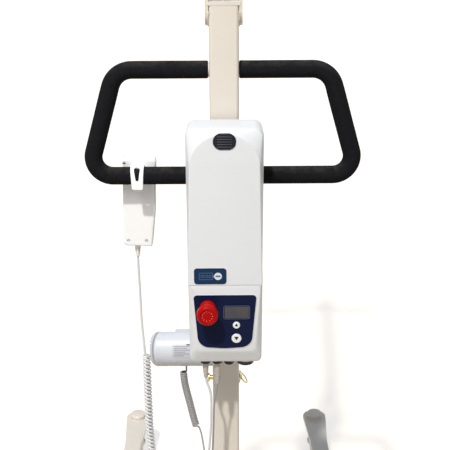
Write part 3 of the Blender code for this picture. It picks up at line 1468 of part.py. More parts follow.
def cords(lift, lean):
    """The handset's lead, curly part and return, and the actuator's coil and return."""
    exit_point = lean @ Vector((RELIEF_X, HANDSET_SPLIT_Y, HANDSET_BOTTOM - SEAT - RELIEF_L - SEAT))
    white = finish("white_cord", (0.70, 0.70, 0.68), 0.45)
    grey = finish("grey_cord", (0.55, 0.56, 0.60), 0.45)
    curl_top = Vector((-0.1590, 0.0330, 0.7160))
    lead, _ = smooth_route(
        [
            exit_point,
            (exit_point.x, 0.0330, 0.900),
            (-0.1643, 0.0330, 0.850),
            (-0.1621, 0.0330, 0.773),
            curl_top,
        ],
        0.012,
    )
    cord("handset_lead", lead, CORD_R, 2, lift, white)

    mouth = UNIT_BOTTOM - SOCKET_DROP
    plug_end = Vector((SOCKET_X[0], SOCKET_Y, mouth - 0.031 - SEAT))
    bottom = [
        (-0.1588, 0.0330, 0.660),
        (-0.1586, 0.0325, 0.600),
        (-0.1572, 0.0300, 0.530),
        (-0.1510, 0.0220, 0.462),
        (-0.1380, 0.0080, 0.412),
    ]
    curl_end = (-0.1180, -0.0120, 0.391)
    down = [(curl_top.x, curl_top.y, curl_top.z - SEAT), *bottom, curl_end]
    route, total = smooth_route(down, 0.004)
    curl = wound(route, total, CURL_R, CURL_TURNS, 2 * CURL_WIRE_R)
    print("handset cord: least gap", least_gap(curl, CURL_WIRE_R), "mm")
    cord("handset_curl", curl, CURL_WIRE_R, 1, lift, white)
    last = (route[-1] - route[-2]).normalized()
    rise = [
        route[-1] + last * 2 * SEAT,
        route[-1] + last * 0.010,
        (-0.0850, -0.0450, 0.402),
        (-0.0620, -0.0680, 0.440),
        (-0.0400, -0.0860, 0.520),
        (-0.0300, -0.0940, 0.610),
        (-0.0276, -0.0950, 0.672),
        (-0.0290, -0.0950, 0.702),
        (plug_end.x + 0.0008, plug_end.y, plug_end.z - 0.008),
        plug_end,
    ]
    back, _ = smooth_route(rise, 0.013)
    cord("handset_return", back, CORD_R, 2, lift, white)

    _, angle = clevis_to_lug()
    down = Vector((0, -math.sin(angle), -math.cos(angle)))
    gland = Vector((-CABLE_EXIT, CLEVIS_Y, CLEVIS_Z)) - down * (MOTOR_RISE - MOTOR_R - 0.004 - 2 * SEAT)
    coil_route = [
        gland,
        gland + down * 0.005,
        (-0.0868, CLEVIS_Y - 0.002, 0.636),
        (-0.0822, CLEVIS_Y - 0.004, 0.604),
        (-0.0745, CLEVIS_Y - 0.009, 0.577),
        (-0.0660, CLEVIS_Y - 0.017, 0.548),
        (-0.0580, CLEVIS_Y - 0.028, 0.522),
    ]
    route, total = smooth_route(coil_route, 0.003)
    coil = wound(route, total, COIL_R, COIL_TURNS, 0.009)
    print("actuator cable: least gap", least_gap(coil, COIL_WIRE_R), "mm")
    cord("actuator_coil", coil, COIL_WIRE_R, 1, lift, grey)
    last = (route[-1] - route[-2]).normalized()
    plug_end = Vector((SOCKET_X[1], SOCKET_Y, mouth - 0.046 - SEAT))
    rise = [
        route[-1] + last * 2 * SEAT,
        route[-1] + last * 0.010,
        (-0.0440, 0.0330, 0.470),
        (-0.0400, -0.0100, 0.440),
        (-0.0340, -0.0560, 0.470),
        (-0.0270, -0.0860, 0.560),
        (-0.0235, -0.0940, 0.640),
        (-0.0222, -0.0950, 0.677),
        (plug_end.x - 0.0022, plug_end.y, plug_end.z - 0.012),
        plug_end,
    ]
    back, _ = smooth_route(rise, 0.013)
    cord("actuator_return", back, CORD_R, 2, lift, grey)


def main():
    clear_scene()
    lift = empty("lift", (0, MAST_Y, 0))
    base_beam(lift)
    for side, word in ((-1, "left"), (1, "right")):
        pivot = leg("leg_" + word, lift, side)
        caster("front_" + word, pivot, 0, LEG_REACH, braked=False)
        caster("rear_" + word, lift, side * LEG_X, -REAR_REACH, braked=True)
    spread_pedal(lift)
    mast(lift)
    mast_head(lift)
    boom(lift)
    spreader(lift)
    actuator(lift)
    unit_bracket(lift)
    control_box(lift)
    battery_pack(lift)
    battery_grip(lift)
    control_face(lift)
    connectors(lift)
    push_handle(lift)
    lean = handset(lift)
    cords(lift, lean)


main()
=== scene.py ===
"""Mobile patient lift, dressed on its frame: finishes, cords at their real length, fine surfaces.

Metres, +Z up, +X right and -Y towards whoever pushes the lift. Run as a script.
"""

import math

import bmesh
import bpy
from mathutils import Matrix, Vector, noise


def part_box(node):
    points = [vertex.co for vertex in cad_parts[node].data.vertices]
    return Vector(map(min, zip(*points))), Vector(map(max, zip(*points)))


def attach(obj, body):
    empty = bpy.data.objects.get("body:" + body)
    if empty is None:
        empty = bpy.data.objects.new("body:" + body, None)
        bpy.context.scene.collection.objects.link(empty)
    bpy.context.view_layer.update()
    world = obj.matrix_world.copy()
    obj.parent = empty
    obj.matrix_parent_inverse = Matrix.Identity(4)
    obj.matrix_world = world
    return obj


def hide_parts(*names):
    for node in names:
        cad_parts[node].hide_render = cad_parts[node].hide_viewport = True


bl_info = {
    "name": "Mobile patient lift",
    "version": (1, 0, 0),
    "blender": (4, 5, 0),
    "location": "3D View > Sidebar > Patient lift",
    "description": "Builds the finished surfaces of a mobile patient lift",
    "category": "Add Mesh",
}

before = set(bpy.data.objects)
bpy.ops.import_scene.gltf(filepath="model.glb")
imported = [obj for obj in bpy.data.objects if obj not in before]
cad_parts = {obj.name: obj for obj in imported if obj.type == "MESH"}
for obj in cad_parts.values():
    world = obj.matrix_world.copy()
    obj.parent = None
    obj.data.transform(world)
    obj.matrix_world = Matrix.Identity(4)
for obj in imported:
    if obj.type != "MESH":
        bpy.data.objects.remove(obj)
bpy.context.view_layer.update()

# Places read from the frame, with the mast's foot as the origin of Y
MAST_LOW, MAST_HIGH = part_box("mast")
MAST_Y = (MAST_LOW.y + MAST_HIGH.y) / 2
MAST_SIDE = MAST_HIGH.x - MAST_LOW.x
MAST_TOP = MAST_HIGH.z

SEAT = 0.0003
ROUND = 48


# Outlines and paths


def circle(radius, sides):
    turns = [math.tau * i / sides for i in range(sides)]
    return [Vector((radius * math.cos(turn), radius * math.sin(turn))) for turn in turns]


def quarter(steps):
    """What a quarter turn lacks at each step: first 1 - cos, then 1 - sin."""
    turns = [math.pi / 2 * i / steps for i in range(steps + 1)]
    return [(1 - math.cos(turn), 1 - math.sin(turn)) for turn in turns]


def corner_arc(before, corner, after, radius, steps):
    """The arc of this radius that rounds a corner, from the side of before to the side of after."""
    back = (before - corner).normalized()
    ahead = (after - corner).normalized()
    half = back.angle(ahead) / 2
    reach = radius / math.tan(half)
    centre = corner + (back + ahead).normalized() * (radius / math.sin(half))
    start = corner + back * reach - centre
    end = corner + ahead * reach - centre
    sweep = start.angle(end)
    return [
        centre + (
            start * math.sin((1 - i / steps) * sweep) + end * math.sin(i / steps * sweep)
        ) / math.sin(sweep)
        for i in range(steps + 1)
    ]


def filleted(corners, radii, steps):
    """A closed outline with every corner rounded by its own radius."""
    points = [Vector(corner) for corner in corners]
    outline = []
    for i, corner in enumerate(points):
        outline += corner_arc(points[i - 1], corner, points[(i + 1) % len(points)], radii[i], steps)
    return outline


def bent_path(corners, radii, steps):
    """An open path through the corners with each inner corner bent to its own radius."""
    points = [Vector(corner) for corner in corners]
    path = [points[0]]
    for i in range(1, len(points) - 1):
        path += corner_arc(points[i - 1], points[i], points[i + 1], radii[i - 1], steps)
    return path + [points[-1]]


def rounded(width, height, radius, centre=(0.0, 0.0), steps=8):
    left, right = centre[0] - width / 2, centre[0] + width / 2
    low, high = centre[1] - height / 2, centre[1] + height / 2
    corners = ((left, low), (right, low), (right, high), (left, high))
    return filleted(corners, [radius] * 4, steps)


def strap(first, first_r, second, second_r, steps):
    """The outline round two circles and the two straight lines that touch both."""
    a, b = Vector(first), Vector(second)
    along = b - a
    heading = math.atan2(along.y, along.x)
    lean = math.acos((first_r - second_r) / along.length)
    outline = []
    for i in range(steps + 1):
        turn = heading + lean + (math.tau - 2 * lean) * i / steps
        outline.append(a + first_r * Vector((math.cos(turn), math.sin(turn))))
    for i in range(steps + 1):
        turn = heading - lean + 2 * lean * i / steps
        outline.append(b + second_r * Vector((math.cos(turn), math.sin(turn))))
    return outline


def smooth_route(points, spacing):
    """Evenly spaced points on a smooth curve through a route's own points, and its length."""
    p = [Vector(point) for point in points]
    p = [2 * p[0] - p[1], *p, 2 * p[-1] - p[-2]]
    dense = []
    for i in range(1, len(p) - 2):
        for k in range(24):
            t = k / 24
            straight = 2 * p[i] + (p[i + 1] - p[i - 1]) * t
            bend = (2 * p[i - 1] - 5 * p[i] + 4 * p[i + 1] - p[i + 2]) * t**2
            twist = (3 * p[i] - p[i - 1] - 3 * p[i + 1] + p[i + 2]) * t**3
            dense.append((straight + bend + twist) / 2)
    dense.append(p[-2])
    total = sum((b - a).length for a, b in zip(dense, dense[1:]))
    count = max(2, round(total / spacing))
    step = total / count
    even, walked, target = [dense[0]], 0.0, step
    for a, b in zip(dense, dense[1:]):
        length = (b - a).length
        while walked + length >= target - 1e-9 and len(even) < count:
            even.append(a.lerp(b, (target - walked) / length))
            target += step
        walked += length
    return [*even, dense[-1]], total


# Meshes


def placed(across, up, along, axis):
    """A point whose third number runs along the named axis and whose first two lie across it."""
    if axis == "x":
        return Vector((along, across, up))
    if axis == "y":
        return Vector((across, along, up))
    return Vector((across, up, along))


def skinned(rings, looped=False):
    """Faces between rings of points, with both ends capped, or the last ring joined to the first."""
    shape = bmesh.new()
    loops = [[shape.verts.new(point) for point in ring] for ring in rings]
    pairs = list(zip(loops, loops[1:]))
    if looped:
        pairs.append((loops[-1], loops[0]))
    else:
        shape.faces.new(loops[0])
        shape.faces.new(loops[-1])
    for low, high in pairs:
        for i in range(len(low)):
            j = (i + 1) % len(low)
            shape.faces.new((low[i], low[j], high[j], high[i]))
    bmesh.ops.recalc_face_normals(shape, faces=shape.faces)
    mesh = bpy.data.meshes.new("shape")
    shape.to_mesh(mesh)
    shape.free()
    return mesh


def laid(outline, axis, along):
    """An outline's points, set across the named axis at one distance along it."""
    return [placed(p[0], p[1], along, axis) for p in outline]


def prism(outline, axis, start, end):
    return skinned([laid(outline, axis, along) for along in (start, end)])


def tube_prism(outer, inner, axis, start, end):
    """A straight tube whose wall lies between two outlines of equally many points."""
    edges = ((outer, start), (outer, end), (inner, end), (inner, start))
    return skinned([laid(outline, axis, along) for outline, along in edges], looped=True)


def square_tube(width, height, radius, wall, inner_radius, axis, start, end, centre=(0.0, 0.0)):
    inner = rounded(width - 2 * wall, height - 2 * wall, inner_radius, centre)
    return tube_prism(rounded(width, height, radius, centre), inner, axis, start, end)


def turned(profile, axis, centre=(0.0, 0.0, 0.0), sides=ROUND, looped=False):
    """A profile of (radius, distance along the axis) turned round the axis."""
    middle = Vector(centre)
    rings = [[point + middle for point in laid(circle(r, sides), axis, along)] for r, along in profile]
    return skinned(rings, looped)


def rod_shape(radius, axis, start, end, centre=(0.0, 0.0, 0.0), sides=ROUND):
    return turned([(radius, start), (radius, end)], axis, centre, sides)


def soft_rod(radius, axis, start, end, ease, centre=(0.0, 0.0, 0.0), sides=ROUND, steps=4):
    """A round bar whose two ends are rounded over by ease."""
    sign = 1 if end > start else -1
    profile = [(radius - ease * short, start + sign * ease * along) for along, short in quarter(steps)]
    profile += [(r, end - (along - start)) for r, along in reversed(profile)]
    return turned(profile, axis, centre, sides)


def block(low, high):
    (x0, y0, z0), (x1, y1, z1) = low, high
    return prism([(x0, y0), (x1, y0), (x1, y1), (x0, y1)], "z", z0, z1)


def linked(name, data):
    """A new object in the scene."""
    obj = bpy.data.objects.new(name, data)
    bpy.context.scene.collection.objects.link(obj)
    return obj


def combined(mesh, others, operation):
    """The mesh with every other one joined to it or cut from it."""
    body = linked("body", mesh)
    helpers = [linked("helper", other) for other in others]
    for helper in helpers:
        step = body.modifiers.new("step", "BOOLEAN")
        step.operation = operation
        step.object = helper
    graph = bpy.context.evaluated_depsgraph_get()
    result = bpy.data.meshes.new_from_object(body.evaluated_get(graph))
    for obj in [body, *helpers]:
        bpy.data.objects.remove(obj, do_unlink=True)
    return result


def joined(mesh, *others):
    return combined(mesh, others, "UNION")


def cut(mesh, *others):
    return combined(mesh, others, "DIFFERENCE")


def together(*meshes):
    """Several closed shapes in one mesh, left as they are."""
    shape = bmesh.new()
    for mesh in meshes:
        shape.from_mesh(mesh)
    whole = bpy.data.meshes.new("shape")
    shape.to_mesh(whole)
    shape.free()
    return whole


def shift(x, y, z):
    return Matrix.Translation((x, y, z))


def spin(degrees, axis):
    return Matrix.Rotation(math.radians(degrees), 4, axis)


def moved(mesh, *steps):
    """The mesh after some matrices, the last of them applied first."""
    for step in reversed(steps):
        mesh.transform(step)
    return mesh


def piece(name, mesh, kind, body, stands_for=(), at=None, ease=0.0, sharp=35):
    """A finished piece that rides on a body; at is a matrix in the mast's own coordinates."""
    mesh.name = name
    if at is not None:
        mesh.transform(at)
    mesh.transform(shift(0, MAST_Y, 0))
    mesh.materials.clear()
    mesh.materials.append(finish(kind))
    mesh.shade_smooth()
    mesh.set_sharp_from_angle(angle=math.radians(sharp))
    obj = linked(name, mesh)
    if ease:
        bevel = obj.modifiers.new("eased edges", "BEVEL")
        bevel.width = ease
        bevel.segments = 2
        bevel.limit_method = "ANGLE"
        bevel.angle_limit = math.radians(sharp)
        bevel.harden_normals = True
    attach(obj, body)
    if stands_for:
        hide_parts(*stands_for)
    return obj


# Shapes that node trees grow


def node_group(name, kind, inputs, outputs, build):
    """A node group, built once; build gets its wiring and its input and output sockets."""
    if name in bpy.data.node_groups:
        return bpy.data.node_groups[name]
    tree = bpy.data.node_groups.new(name, kind)
    for label, sort, value in inputs:
        socket = tree.interface.new_socket(label, in_out="INPUT", socket_type="NodeSocket" + sort)
        if value is not None:
            socket.default_value = value
    for label, sort in outputs:
        tree.interface.new_socket(label, in_out="OUTPUT", socket_type="NodeSocket" + sort)
    build(Wiring(tree), tree.nodes.new("NodeGroupInput").outputs, tree.nodes.new("NodeGroupOutput").inputs)
    return tree


def shape_tree(name, inputs, grow):
    """A geometry tree that realizes what grow makes and gives it the tree's material."""

    def build(wire, given, out):
        whole = wire.node("GeometryNodeRealizeInstances", {"Geometry": grow(wire, given)}).outputs[0]
        coated = wire.node("GeometryNodeSetMaterial", {"Geometry": whole, "Material": given["Material"]})
        wire.feed(out["Geometry"], coated.outputs[0])

    inputs = [("Geometry", "Geometry", None), *inputs, ("Material", "Material", None)]
    return node_group(name, "GeometryNodeTree", inputs, [("Geometry", "Geometry")], build)


def copies(wire, points, shape, **more):
    inputs = {"Points": points, "Instance": shape, **more}
    return wire.node("GeometryNodeInstanceOnPoints", inputs).outputs[0]


def weld_tree():
    """Overlapping scales of weld metal along the edges of the mesh that it is given."""

    def grow(wire, given):
        curve = wire.node("GeometryNodeMeshToCurve", {"Mesh": given["Geometry"]}).outputs[0]
        spaced = {"Curve": curve, "Length": given["Spacing"]}
        spaced = wire.node("GeometryNodeResampleCurve", spaced, mode="LENGTH").outputs[0]
        scale = {"Subdivisions": 2, "Radius": given["Bead Radius"]}
        scale = wire.node("GeometryNodeMeshIcoSphere", scale).outputs[0]
        least = wire.maths("SUBTRACT", 1.0, given["Unevenness"])
        chance = wire.node("FunctionNodeRandomValue", {2: least, 3: 1.0, "Seed": given["Seed"]})
        return copies(wire, spaced, scale, Scale=chance.outputs[1])

    inputs = [
        ("Spacing", "Float", 0.0014), ("Bead Radius", "Float", 0.0016), ("Unevenness", "Float", 0.12),
        ("Seed", "Int", 7),
    ]
    return shape_tree("weld bead", inputs, grow)


def ring_tree():
    """Small domes evenly spaced on a circle that faces along Y."""

    def grow(wire, given):
        ring = {"Vertices": given["Count"], "Radius": given["Ring Radius"]}
        ring = wire.node("GeometryNodeMeshCircle", ring).outputs[0]
        dot = {"Subdivisions": 2, "Radius": given["Dot Radius"]}
        dot = wire.node("GeometryNodeMeshIcoSphere", dot).outputs[0]
        upright = {"Geometry": copies(wire, ring, dot), "Rotation": (math.pi / 2, 0, 0)}
        return wire.node("GeometryNodeTransform", upright).outputs[0]

    inputs = [("Count", "Int", 10), ("Ring Radius", "Float", 0.007), ("Dot Radius", "Float", 0.0006)]
    return shape_tree("ring of dots", inputs, grow)


def row_tree():
    """Copies of the shape that it is given, evenly spaced along a step."""

    def grow(wire, given):
        line = {"Count": given["Count"], "Offset": given["Step"]}
        line = wire.node("GeometryNodeMeshLine", line, mode="OFFSET").outputs[0]
        return copies(wire, line, given["Geometry"])

    return shape_tree("row of copies", [("Count", "Int", 5), ("Step", "Vector", (0.0, 0.0, 0.004))], grow)


def points_tree():
    """A copy of one object at every point of the mesh that it is given."""

    def grow(wire, given):
        shape = wire.node("GeometryNodeObjectInfo", {"Object": given["Shape"]}).outputs["Geometry"]
        return copies(wire, given["Geometry"], shape)

    return shape_tree("copies on points", [("Shape", "Object", None)], grow)


def grown(tree, start=None, **values):
    """The plain mesh that a node tree makes from a starting mesh and its named inputs."""
    holder = linked("holder", start or bpy.data.meshes.new("start"))
    grower = holder.modifiers.new("grower", "NODES")
    grower.node_group = tree
    for item in tree.interface.items_tree:
        label = item.name.lower().replace(" ", "_")
        if item.in_out == "INPUT" and label in values:
            grower[item.identifier] = values[label]
    graph = bpy.context.evaluated_depsgraph_get()
    mesh = bpy.data.meshes.new_from_object(holder.evaluated_get(graph))
    bpy.data.objects.remove(holder, do_unlink=True)
    return mesh


def weld(points, closed=True, bead=0.0016):
    """Painted scales of weld metal along a line of points."""
    edges = [(i, i + 1) for i in range(len(points) - 1)]
    if closed:
        edges.append((len(points) - 1, 0))
    line = bpy.data.meshes.new("line")
    line.from_pydata([Vector(point) for point in points], edges, [])
    return grown(weld_tree(), line, spacing=0.9 * bead, bead_radius=bead, material=finish("cream_paint"))


def on_points(points, shape, material):
    """The shape's copies at the points, as one mesh."""
    pattern = linked("pattern", shape)
    spots = bpy.data.meshes.new("spots")
    spots.from_pydata([Vector(point) for point in points], [], [])
    mesh = grown(points_tree(), spots, shape=pattern, material=material)
    bpy.data.objects.remove(pattern, do_unlink=True)
    return mesh


# Finishes


class Wiring:
    """Short calls that add nodes to one tree and join them."""

    def __init__(self, tree):
        self.tree = tree

    def feed(self, socket, value):
        if isinstance(value, bpy.types.NodeSocket):
            self.tree.links.new(value, socket)
        else:
            socket.default_value = value

    def node(self, kind, inputs=None, **settings):
        made = self.tree.nodes.new(kind)
        for key, value in settings.items():
            setattr(made, key, value)
        for key, value in (inputs or {}).items():
            self.feed(made.inputs[key], value)
        return made

    def maths(self, operation, a, b, clamp=False):
        return self.node("ShaderNodeMath", {0: a, 1: b}, operation=operation, use_clamp=clamp).outputs[0]

    def plus(self, a, b, clamp=False):
        return self.maths("ADD", a, b, clamp)

    def minus(self, a, b):
        return self.maths("SUBTRACT", a, b)

    def times(self, a, b, clamp=False):
        return self.maths("MULTIPLY", a, b, clamp)

    def group(self, tree, place, **values):
        inputs = {key.replace("_", " ").title(): value for key, value in values.items()}
        return self.node("ShaderNodeGroup", {"Position": place, **inputs}, node_tree=tree).outputs[0]

    def noise(self, place, scale, detail=2.0, roughness=0.5):
        inputs = {"Vector": place, "Scale": scale, "Detail": detail, "Roughness": roughness}
        return self.node("ShaderNodeTexNoise", inputs).outputs[0]

    def cells(self, place, scale):
        return self.node("ShaderNodeTexVoronoi", {"Vector": place, "Scale": scale}).outputs["Distance"]

    def spread(self, value, low, high, to_low=0.0, to_high=1.0):
        inputs = {"Value": value, "From Min": low, "From Max": high, "To Min": to_low, "To Max": to_high}
        return self.node("ShaderNodeMapRange", inputs).outputs["Result"]

    def blend(self, share, a, b):
        made = self.node("ShaderNodeMix", data_type="RGBA")
        self.feed(made.inputs[0], share)
        self.feed(made.inputs[6], a)
        self.feed(made.inputs[7], b)
        return made.outputs[2]


def effect(name, inputs, output, build):
    """A shader node group with a place in its material and one output, whose socket build returns."""

    def finished(wire, given, out):
        wire.feed(out[output[0]], build(wire, given))

    inputs = [("Position", "Vector", None), *inputs]
    return node_group(name, "ShaderNodeTree", inputs, [output], finished)


def uneven_colour():
    """Slow, soft changes of tone, as in any batch of paint, foam or moulded plastic."""

    def build(wire, given):
        cloud = wire.noise(given["Position"], wire.maths("DIVIDE", 1.0, given["Patch Size"]), 4.0, 0.6)
        drift = wire.times(wire.minus(cloud, 0.5), given["Amount"])
        scaled = wire.node("ShaderNodeVectorMath", {0: given["Colour"]}, operation="SCALE")
        wire.feed(scaled.inputs["Scale"], wire.plus(wire.times(drift, 3.0), 1.0))
        return scaled.outputs[0]

    inputs = [
        ("Colour", "Color", (0.8, 0.8, 0.8, 1.0)), ("Patch Size", "Float", 0.05), ("Amount", "Float", 0.05)
    ]
    return effect("Uneven colour", inputs, ("Colour", "Color"), build)


def uneven_sheen():
    """Roughness that drifts: handling marks over a fine even finish."""

    def build(wire, given):
        broad = wire.noise(given["Position"], 25.0, 3.0, 0.6)
        fine = wire.noise(given["Position"], 450.0, 2.0, 0.5)
        both = wire.plus(wire.times(broad, 0.7), wire.times(fine, 0.3))
        drift = wire.times(wire.minus(both, 0.5), given["Spread"])
        return wire.plus(given["Roughness"], wire.times(drift, 3.0), clamp=True)

    inputs = [("Roughness", "Float", 0.4), ("Spread", "Float", 0.08)]
    return effect("Uneven sheen", inputs, ("Roughness", "Float"), build)


def fine_grain():
    """The relief of a moulded, sprayed or foamed skin: rounded cells with a little noise."""

    def build(wire, given):
        scale = wire.maths("DIVIDE", 1.0, given["Grain Size"])
        cell = wire.cells(given["Position"], scale)
        soft = wire.noise(given["Position"], wire.times(scale, 0.6), 2.0)
        return wire.plus(wire.times(cell, 0.5), wire.times(soft, 0.5))

    return effect("Fine grain", [("Grain Size", "Float", 0.001)], ("Height", "Float"), build)


def settled_dust():
    """Where dust settles: upward faces, broken up by noise."""

    def build(wire, given):
        normal = wire.node("ShaderNodeNewGeometry").outputs["Normal"]
        facing = wire.spread(wire.node("ShaderNodeSeparateXYZ", {0: normal}).outputs["Z"], 0.35, 1.0)
        patch = wire.spread(wire.noise(given["Position"], 60.0, 5.0, 0.65), 0.35, 0.7)
        return wire.times(wire.times(facing, patch), given["Amount"], clamp=True)

    return effect("Settled dust", [("Amount", "Float", 0.1)], ("Mask", "Float"), build)


def worn_edges():
    """Edges rubbed lighter: where a rounded normal leaves the real one, broken up by noise."""

    def build(wire, given):
        rounded_normal = wire.node("ShaderNodeBevel", {"Radius": given["Width"]}, samples=6).outputs[0]
        pair = {0: rounded_normal, 1: wire.node("ShaderNodeNewGeometry").outputs["Normal"]}
        match = wire.node("ShaderNodeVectorMath", pair, operation="DOT_PRODUCT").outputs["Value"]
        edge = wire.spread(wire.minus(1.0, match), 0.01, 0.12)
        patch = wire.spread(wire.noise(given["Position"], 140.0, 4.0, 0.6), 0.42, 0.62)
        return wire.times(wire.times(edge, patch), given["Amount"], clamp=True)

    inputs = [("Width", "Float", 0.001), ("Amount", "Float", 0.4)]
    return effect("Worn edges", inputs, ("Mask", "Float"), build)


def surface(
    name, colour, roughness, tone=0.04, patch=0.05, grain=0.00002, grain_size=0.0008, spread=0.06,
    metallic=0.0, shine=0.5, dust=0.0, worn=None, worn_share=0.4, second=None,
):
    """A finish put together from the shared effects; second is a colour that clouds into the first."""
    made = bpy.data.materials.new(name)
    made.use_nodes = True
    made.diffuse_color = base = (*colour[:3], 1.0)
    wire = Wiring(made.node_tree)
    shader = made.node_tree.nodes["Principled BSDF"].inputs
    place = wire.node("ShaderNodeTexCoord").outputs["Object"]
    if second:
        cloud = wire.spread(wire.noise(place, 0.7 / patch, 3.0, 0.6), 0.4, 0.62)
        base = wire.blend(cloud, base, (*second[:3], 1.0))
    shade = wire.group(uneven_colour(), place, colour=base, patch_size=patch, amount=tone)
    if worn:
        edge = wire.group(worn_edges(), place, amount=worn_share)
        shade = wire.blend(edge, shade, (*worn[:3], 1.0))
    if dust:
        shade = wire.blend(wire.group(settled_dust(), place, amount=dust), shade, DUST_COLOUR)
    relief = wire.group(fine_grain(), place, grain_size=grain_size)
    bump = wire.node("ShaderNodeBump", {"Strength": 0.8, "Distance": grain, "Height": relief})
    wire.feed(shader["Base Color"], shade)
    wire.feed(shader["Roughness"], wire.group(uneven_sheen(), place, roughness=roughness, spread=spread))
    wire.feed(shader["Normal"], bump.outputs[0])
    shader["Metallic"].default_value = metallic
    shader["Specular IOR Level"].default_value = shine
    return made


DUST_COLOUR = (0.32, 0.30, 0.27, 1.0)

# What cases and printed marks have in common
CASE = dict(slot="white_case", roughness=0.36, tone=0.012, patch=0.09, grain=0.00003, grain_size=0.0006)
PRINT = dict(roughness=0.4, tone=0.05, patch=0.004, grain=0.00001)
CORD = dict(roughness=0.42, patch=0.02, grain=0.00004)

# Each finish with a slot name, which finish() sets aside; a colour's name is a property of LiftFinishes
FINISHES = {
    "cream_paint": dict(
        slot="cream_paint", colour="cream", roughness=0.34, tone=0.025, patch=0.12, grain=0.00009,
        grain_size=0.0016, spread=0.05, worn=(0.60, 0.52, 0.44), worn_share=0.25,
    ),
    "unit_white": dict(CASE, colour="unit"),
    "box_white": dict(CASE, colour="box"),
    "handset_white": dict(CASE, colour="handset", roughness=0.38, tone=0.01, patch=0.05),
    # The motor's blue-grey white is the housing's white with a painted shade in it.
    "motor_white": dict(
        CASE, colour="motor", roughness=0.40, tone=0.015, patch=0.06, grain=0.00004, grain_size=0.0008
    ),
    "relief_white": dict(
        CASE, colour=(0.92, 0.90, 0.87), roughness=0.45, tone=0.03, patch=0.01, grain_size=0.0008
    ),
    "foam_black": dict(
        slot="black_foam", colour="foam", roughness=0.85, tone=0.30, patch=0.006, grain=0.00045,
        grain_size=0.0011, spread=0.10, shine=0.04, dust=0.12,
    ),
    "plastic_black": dict(
        slot="black_plastic", colour="plastic", roughness=0.42, tone=0.08, patch=0.03, grain=0.00006,
        dust=0.06, shine=0.25, worn=(0.05, 0.05, 0.055),
    ),
    "grip_black": dict(
        slot="black_plastic", colour=(0.012, 0.013, 0.020), roughness=0.45, tone=0.06, patch=0.02, shine=0.15
    ),
    # Ribs a lighter black than the grip: a painted highlight on the rib tops.
    "rib_black": dict(
        slot="black_plastic", colour=(0.046, 0.048, 0.060), roughness=0.40, tone=0.06, patch=0.02, shine=0.25
    ),
    "plug_grey": dict(
        slot="grey_plastic", colour="plug", roughness=0.45, tone=0.05, patch=0.02, grain=0.00005,
        grain_size=0.0006,
    ),
    "hub_grey": dict(
        slot="grey_plastic", colour=(0.42, 0.43, 0.44), roughness=0.45, patch=0.03, grain=0.00004, dust=0.10
    ),
    "zinc_yellow": dict(
        slot="yellow_zinc", colour="zinc", roughness=0.27, tone=0.10, patch=0.012, grain_size=0.0012,
        spread=0.10, metallic=0.9, worn=(0.75, 0.72, 0.66), second=(0.50, 0.44, 0.16),
    ),
    "steel_bright": dict(
        slot="bright_steel", colour="steel", roughness=0.28, tone=0.06, patch=0.03, spread=0.10, metallic=1.0,
        second=(0.50, 0.51, 0.53),
    ),
    "tyre_grey": dict(
        slot="grey_tyre", colour="tyre", roughness=0.62, tone=0.10, patch=0.02, grain=0.00008,
        grain_size=0.0012, dust=0.15, shine=0.3, worn=(0.20, 0.19, 0.18),
    ),
    "panel_navy": dict(
        slot="navy_film", colour="panel", roughness=0.30, tone=0.06, patch=0.04, grain_size=0.0005, shine=0.06
    ),
    "label_navy": dict(
        slot="navy_film", colour="label", roughness=0.28, tone=0.05, patch=0.02, grain_size=0.0005, shine=0.10
    ),
    # Pale print on the labels; round the control panel it is a painted highlight on the recess edge.
    "print_pale": dict(PRINT, slot="white_case", colour=(0.74, 0.76, 0.80)),
    "print_blue": dict(PRINT, slot="navy_film", colour=(0.14, 0.21, 0.33), shine=0.2),
    "print_dim": dict(PRINT, slot="display_glass", colour=(0.11, 0.14, 0.22), shine=0.2),
    "print_grey": dict(PRINT, slot="white_case", colour=(0.20, 0.21, 0.24)),
    "print_black": dict(PRINT, slot="black_plastic", colour=(0.008, 0.009, 0.012), tone=0.10, shine=0.1),
    "display_grey": dict(
        slot="display_glass", colour="display", roughness=0.22, tone=0.10, patch=0.015, grain=0.000004,
        spread=0.03, shine=0.25, second=(0.082, 0.070, 0.062),
    ),
    "stop_red": dict(
        slot="stop_red", colour="stop", roughness=0.34, tone=0.05, patch=0.02, grain_size=0.0006, shine=0.08,
        worn=(0.60, 0.06, 0.05), worn_share=0.3,
    ),
    "stop_mark": dict(PRINT, slot="stop_red", colour=(0.62, 0.20, 0.18), tone=0.08, patch=0.003),
    "button_white": dict(
        slot="white_button", colour="button", roughness=0.35, tone=0.02, patch=0.01, grain_size=0.0005
    ),
    "cord_white": dict(CORD, slot="white_cord", colour="handset_cord", tone=0.03),
    "cord_grey": dict(CORD, slot="grey_cord", colour="actuator_cord", tone=0.05),
    "label_silver": dict(PRINT, slot="white_case", colour=(0.55, 0.56, 0.62), roughness=0.35, patch=0.01),
}


def finish(kind):
    """The material of one kind, made when it is first asked for."""
    name = kind + "_finish"
    if name in bpy.data.materials:
        return bpy.data.materials[name]
    values = dict(FINISHES[kind])
    del values["slot"]
    colour = values.pop("colour")
    if isinstance(colour, str):
        colour = getattr(bpy.context.scene.lift_finishes, colour)
    return surface(name, colour, **values)


# Sizes that the frame's boxes do not give, in metres

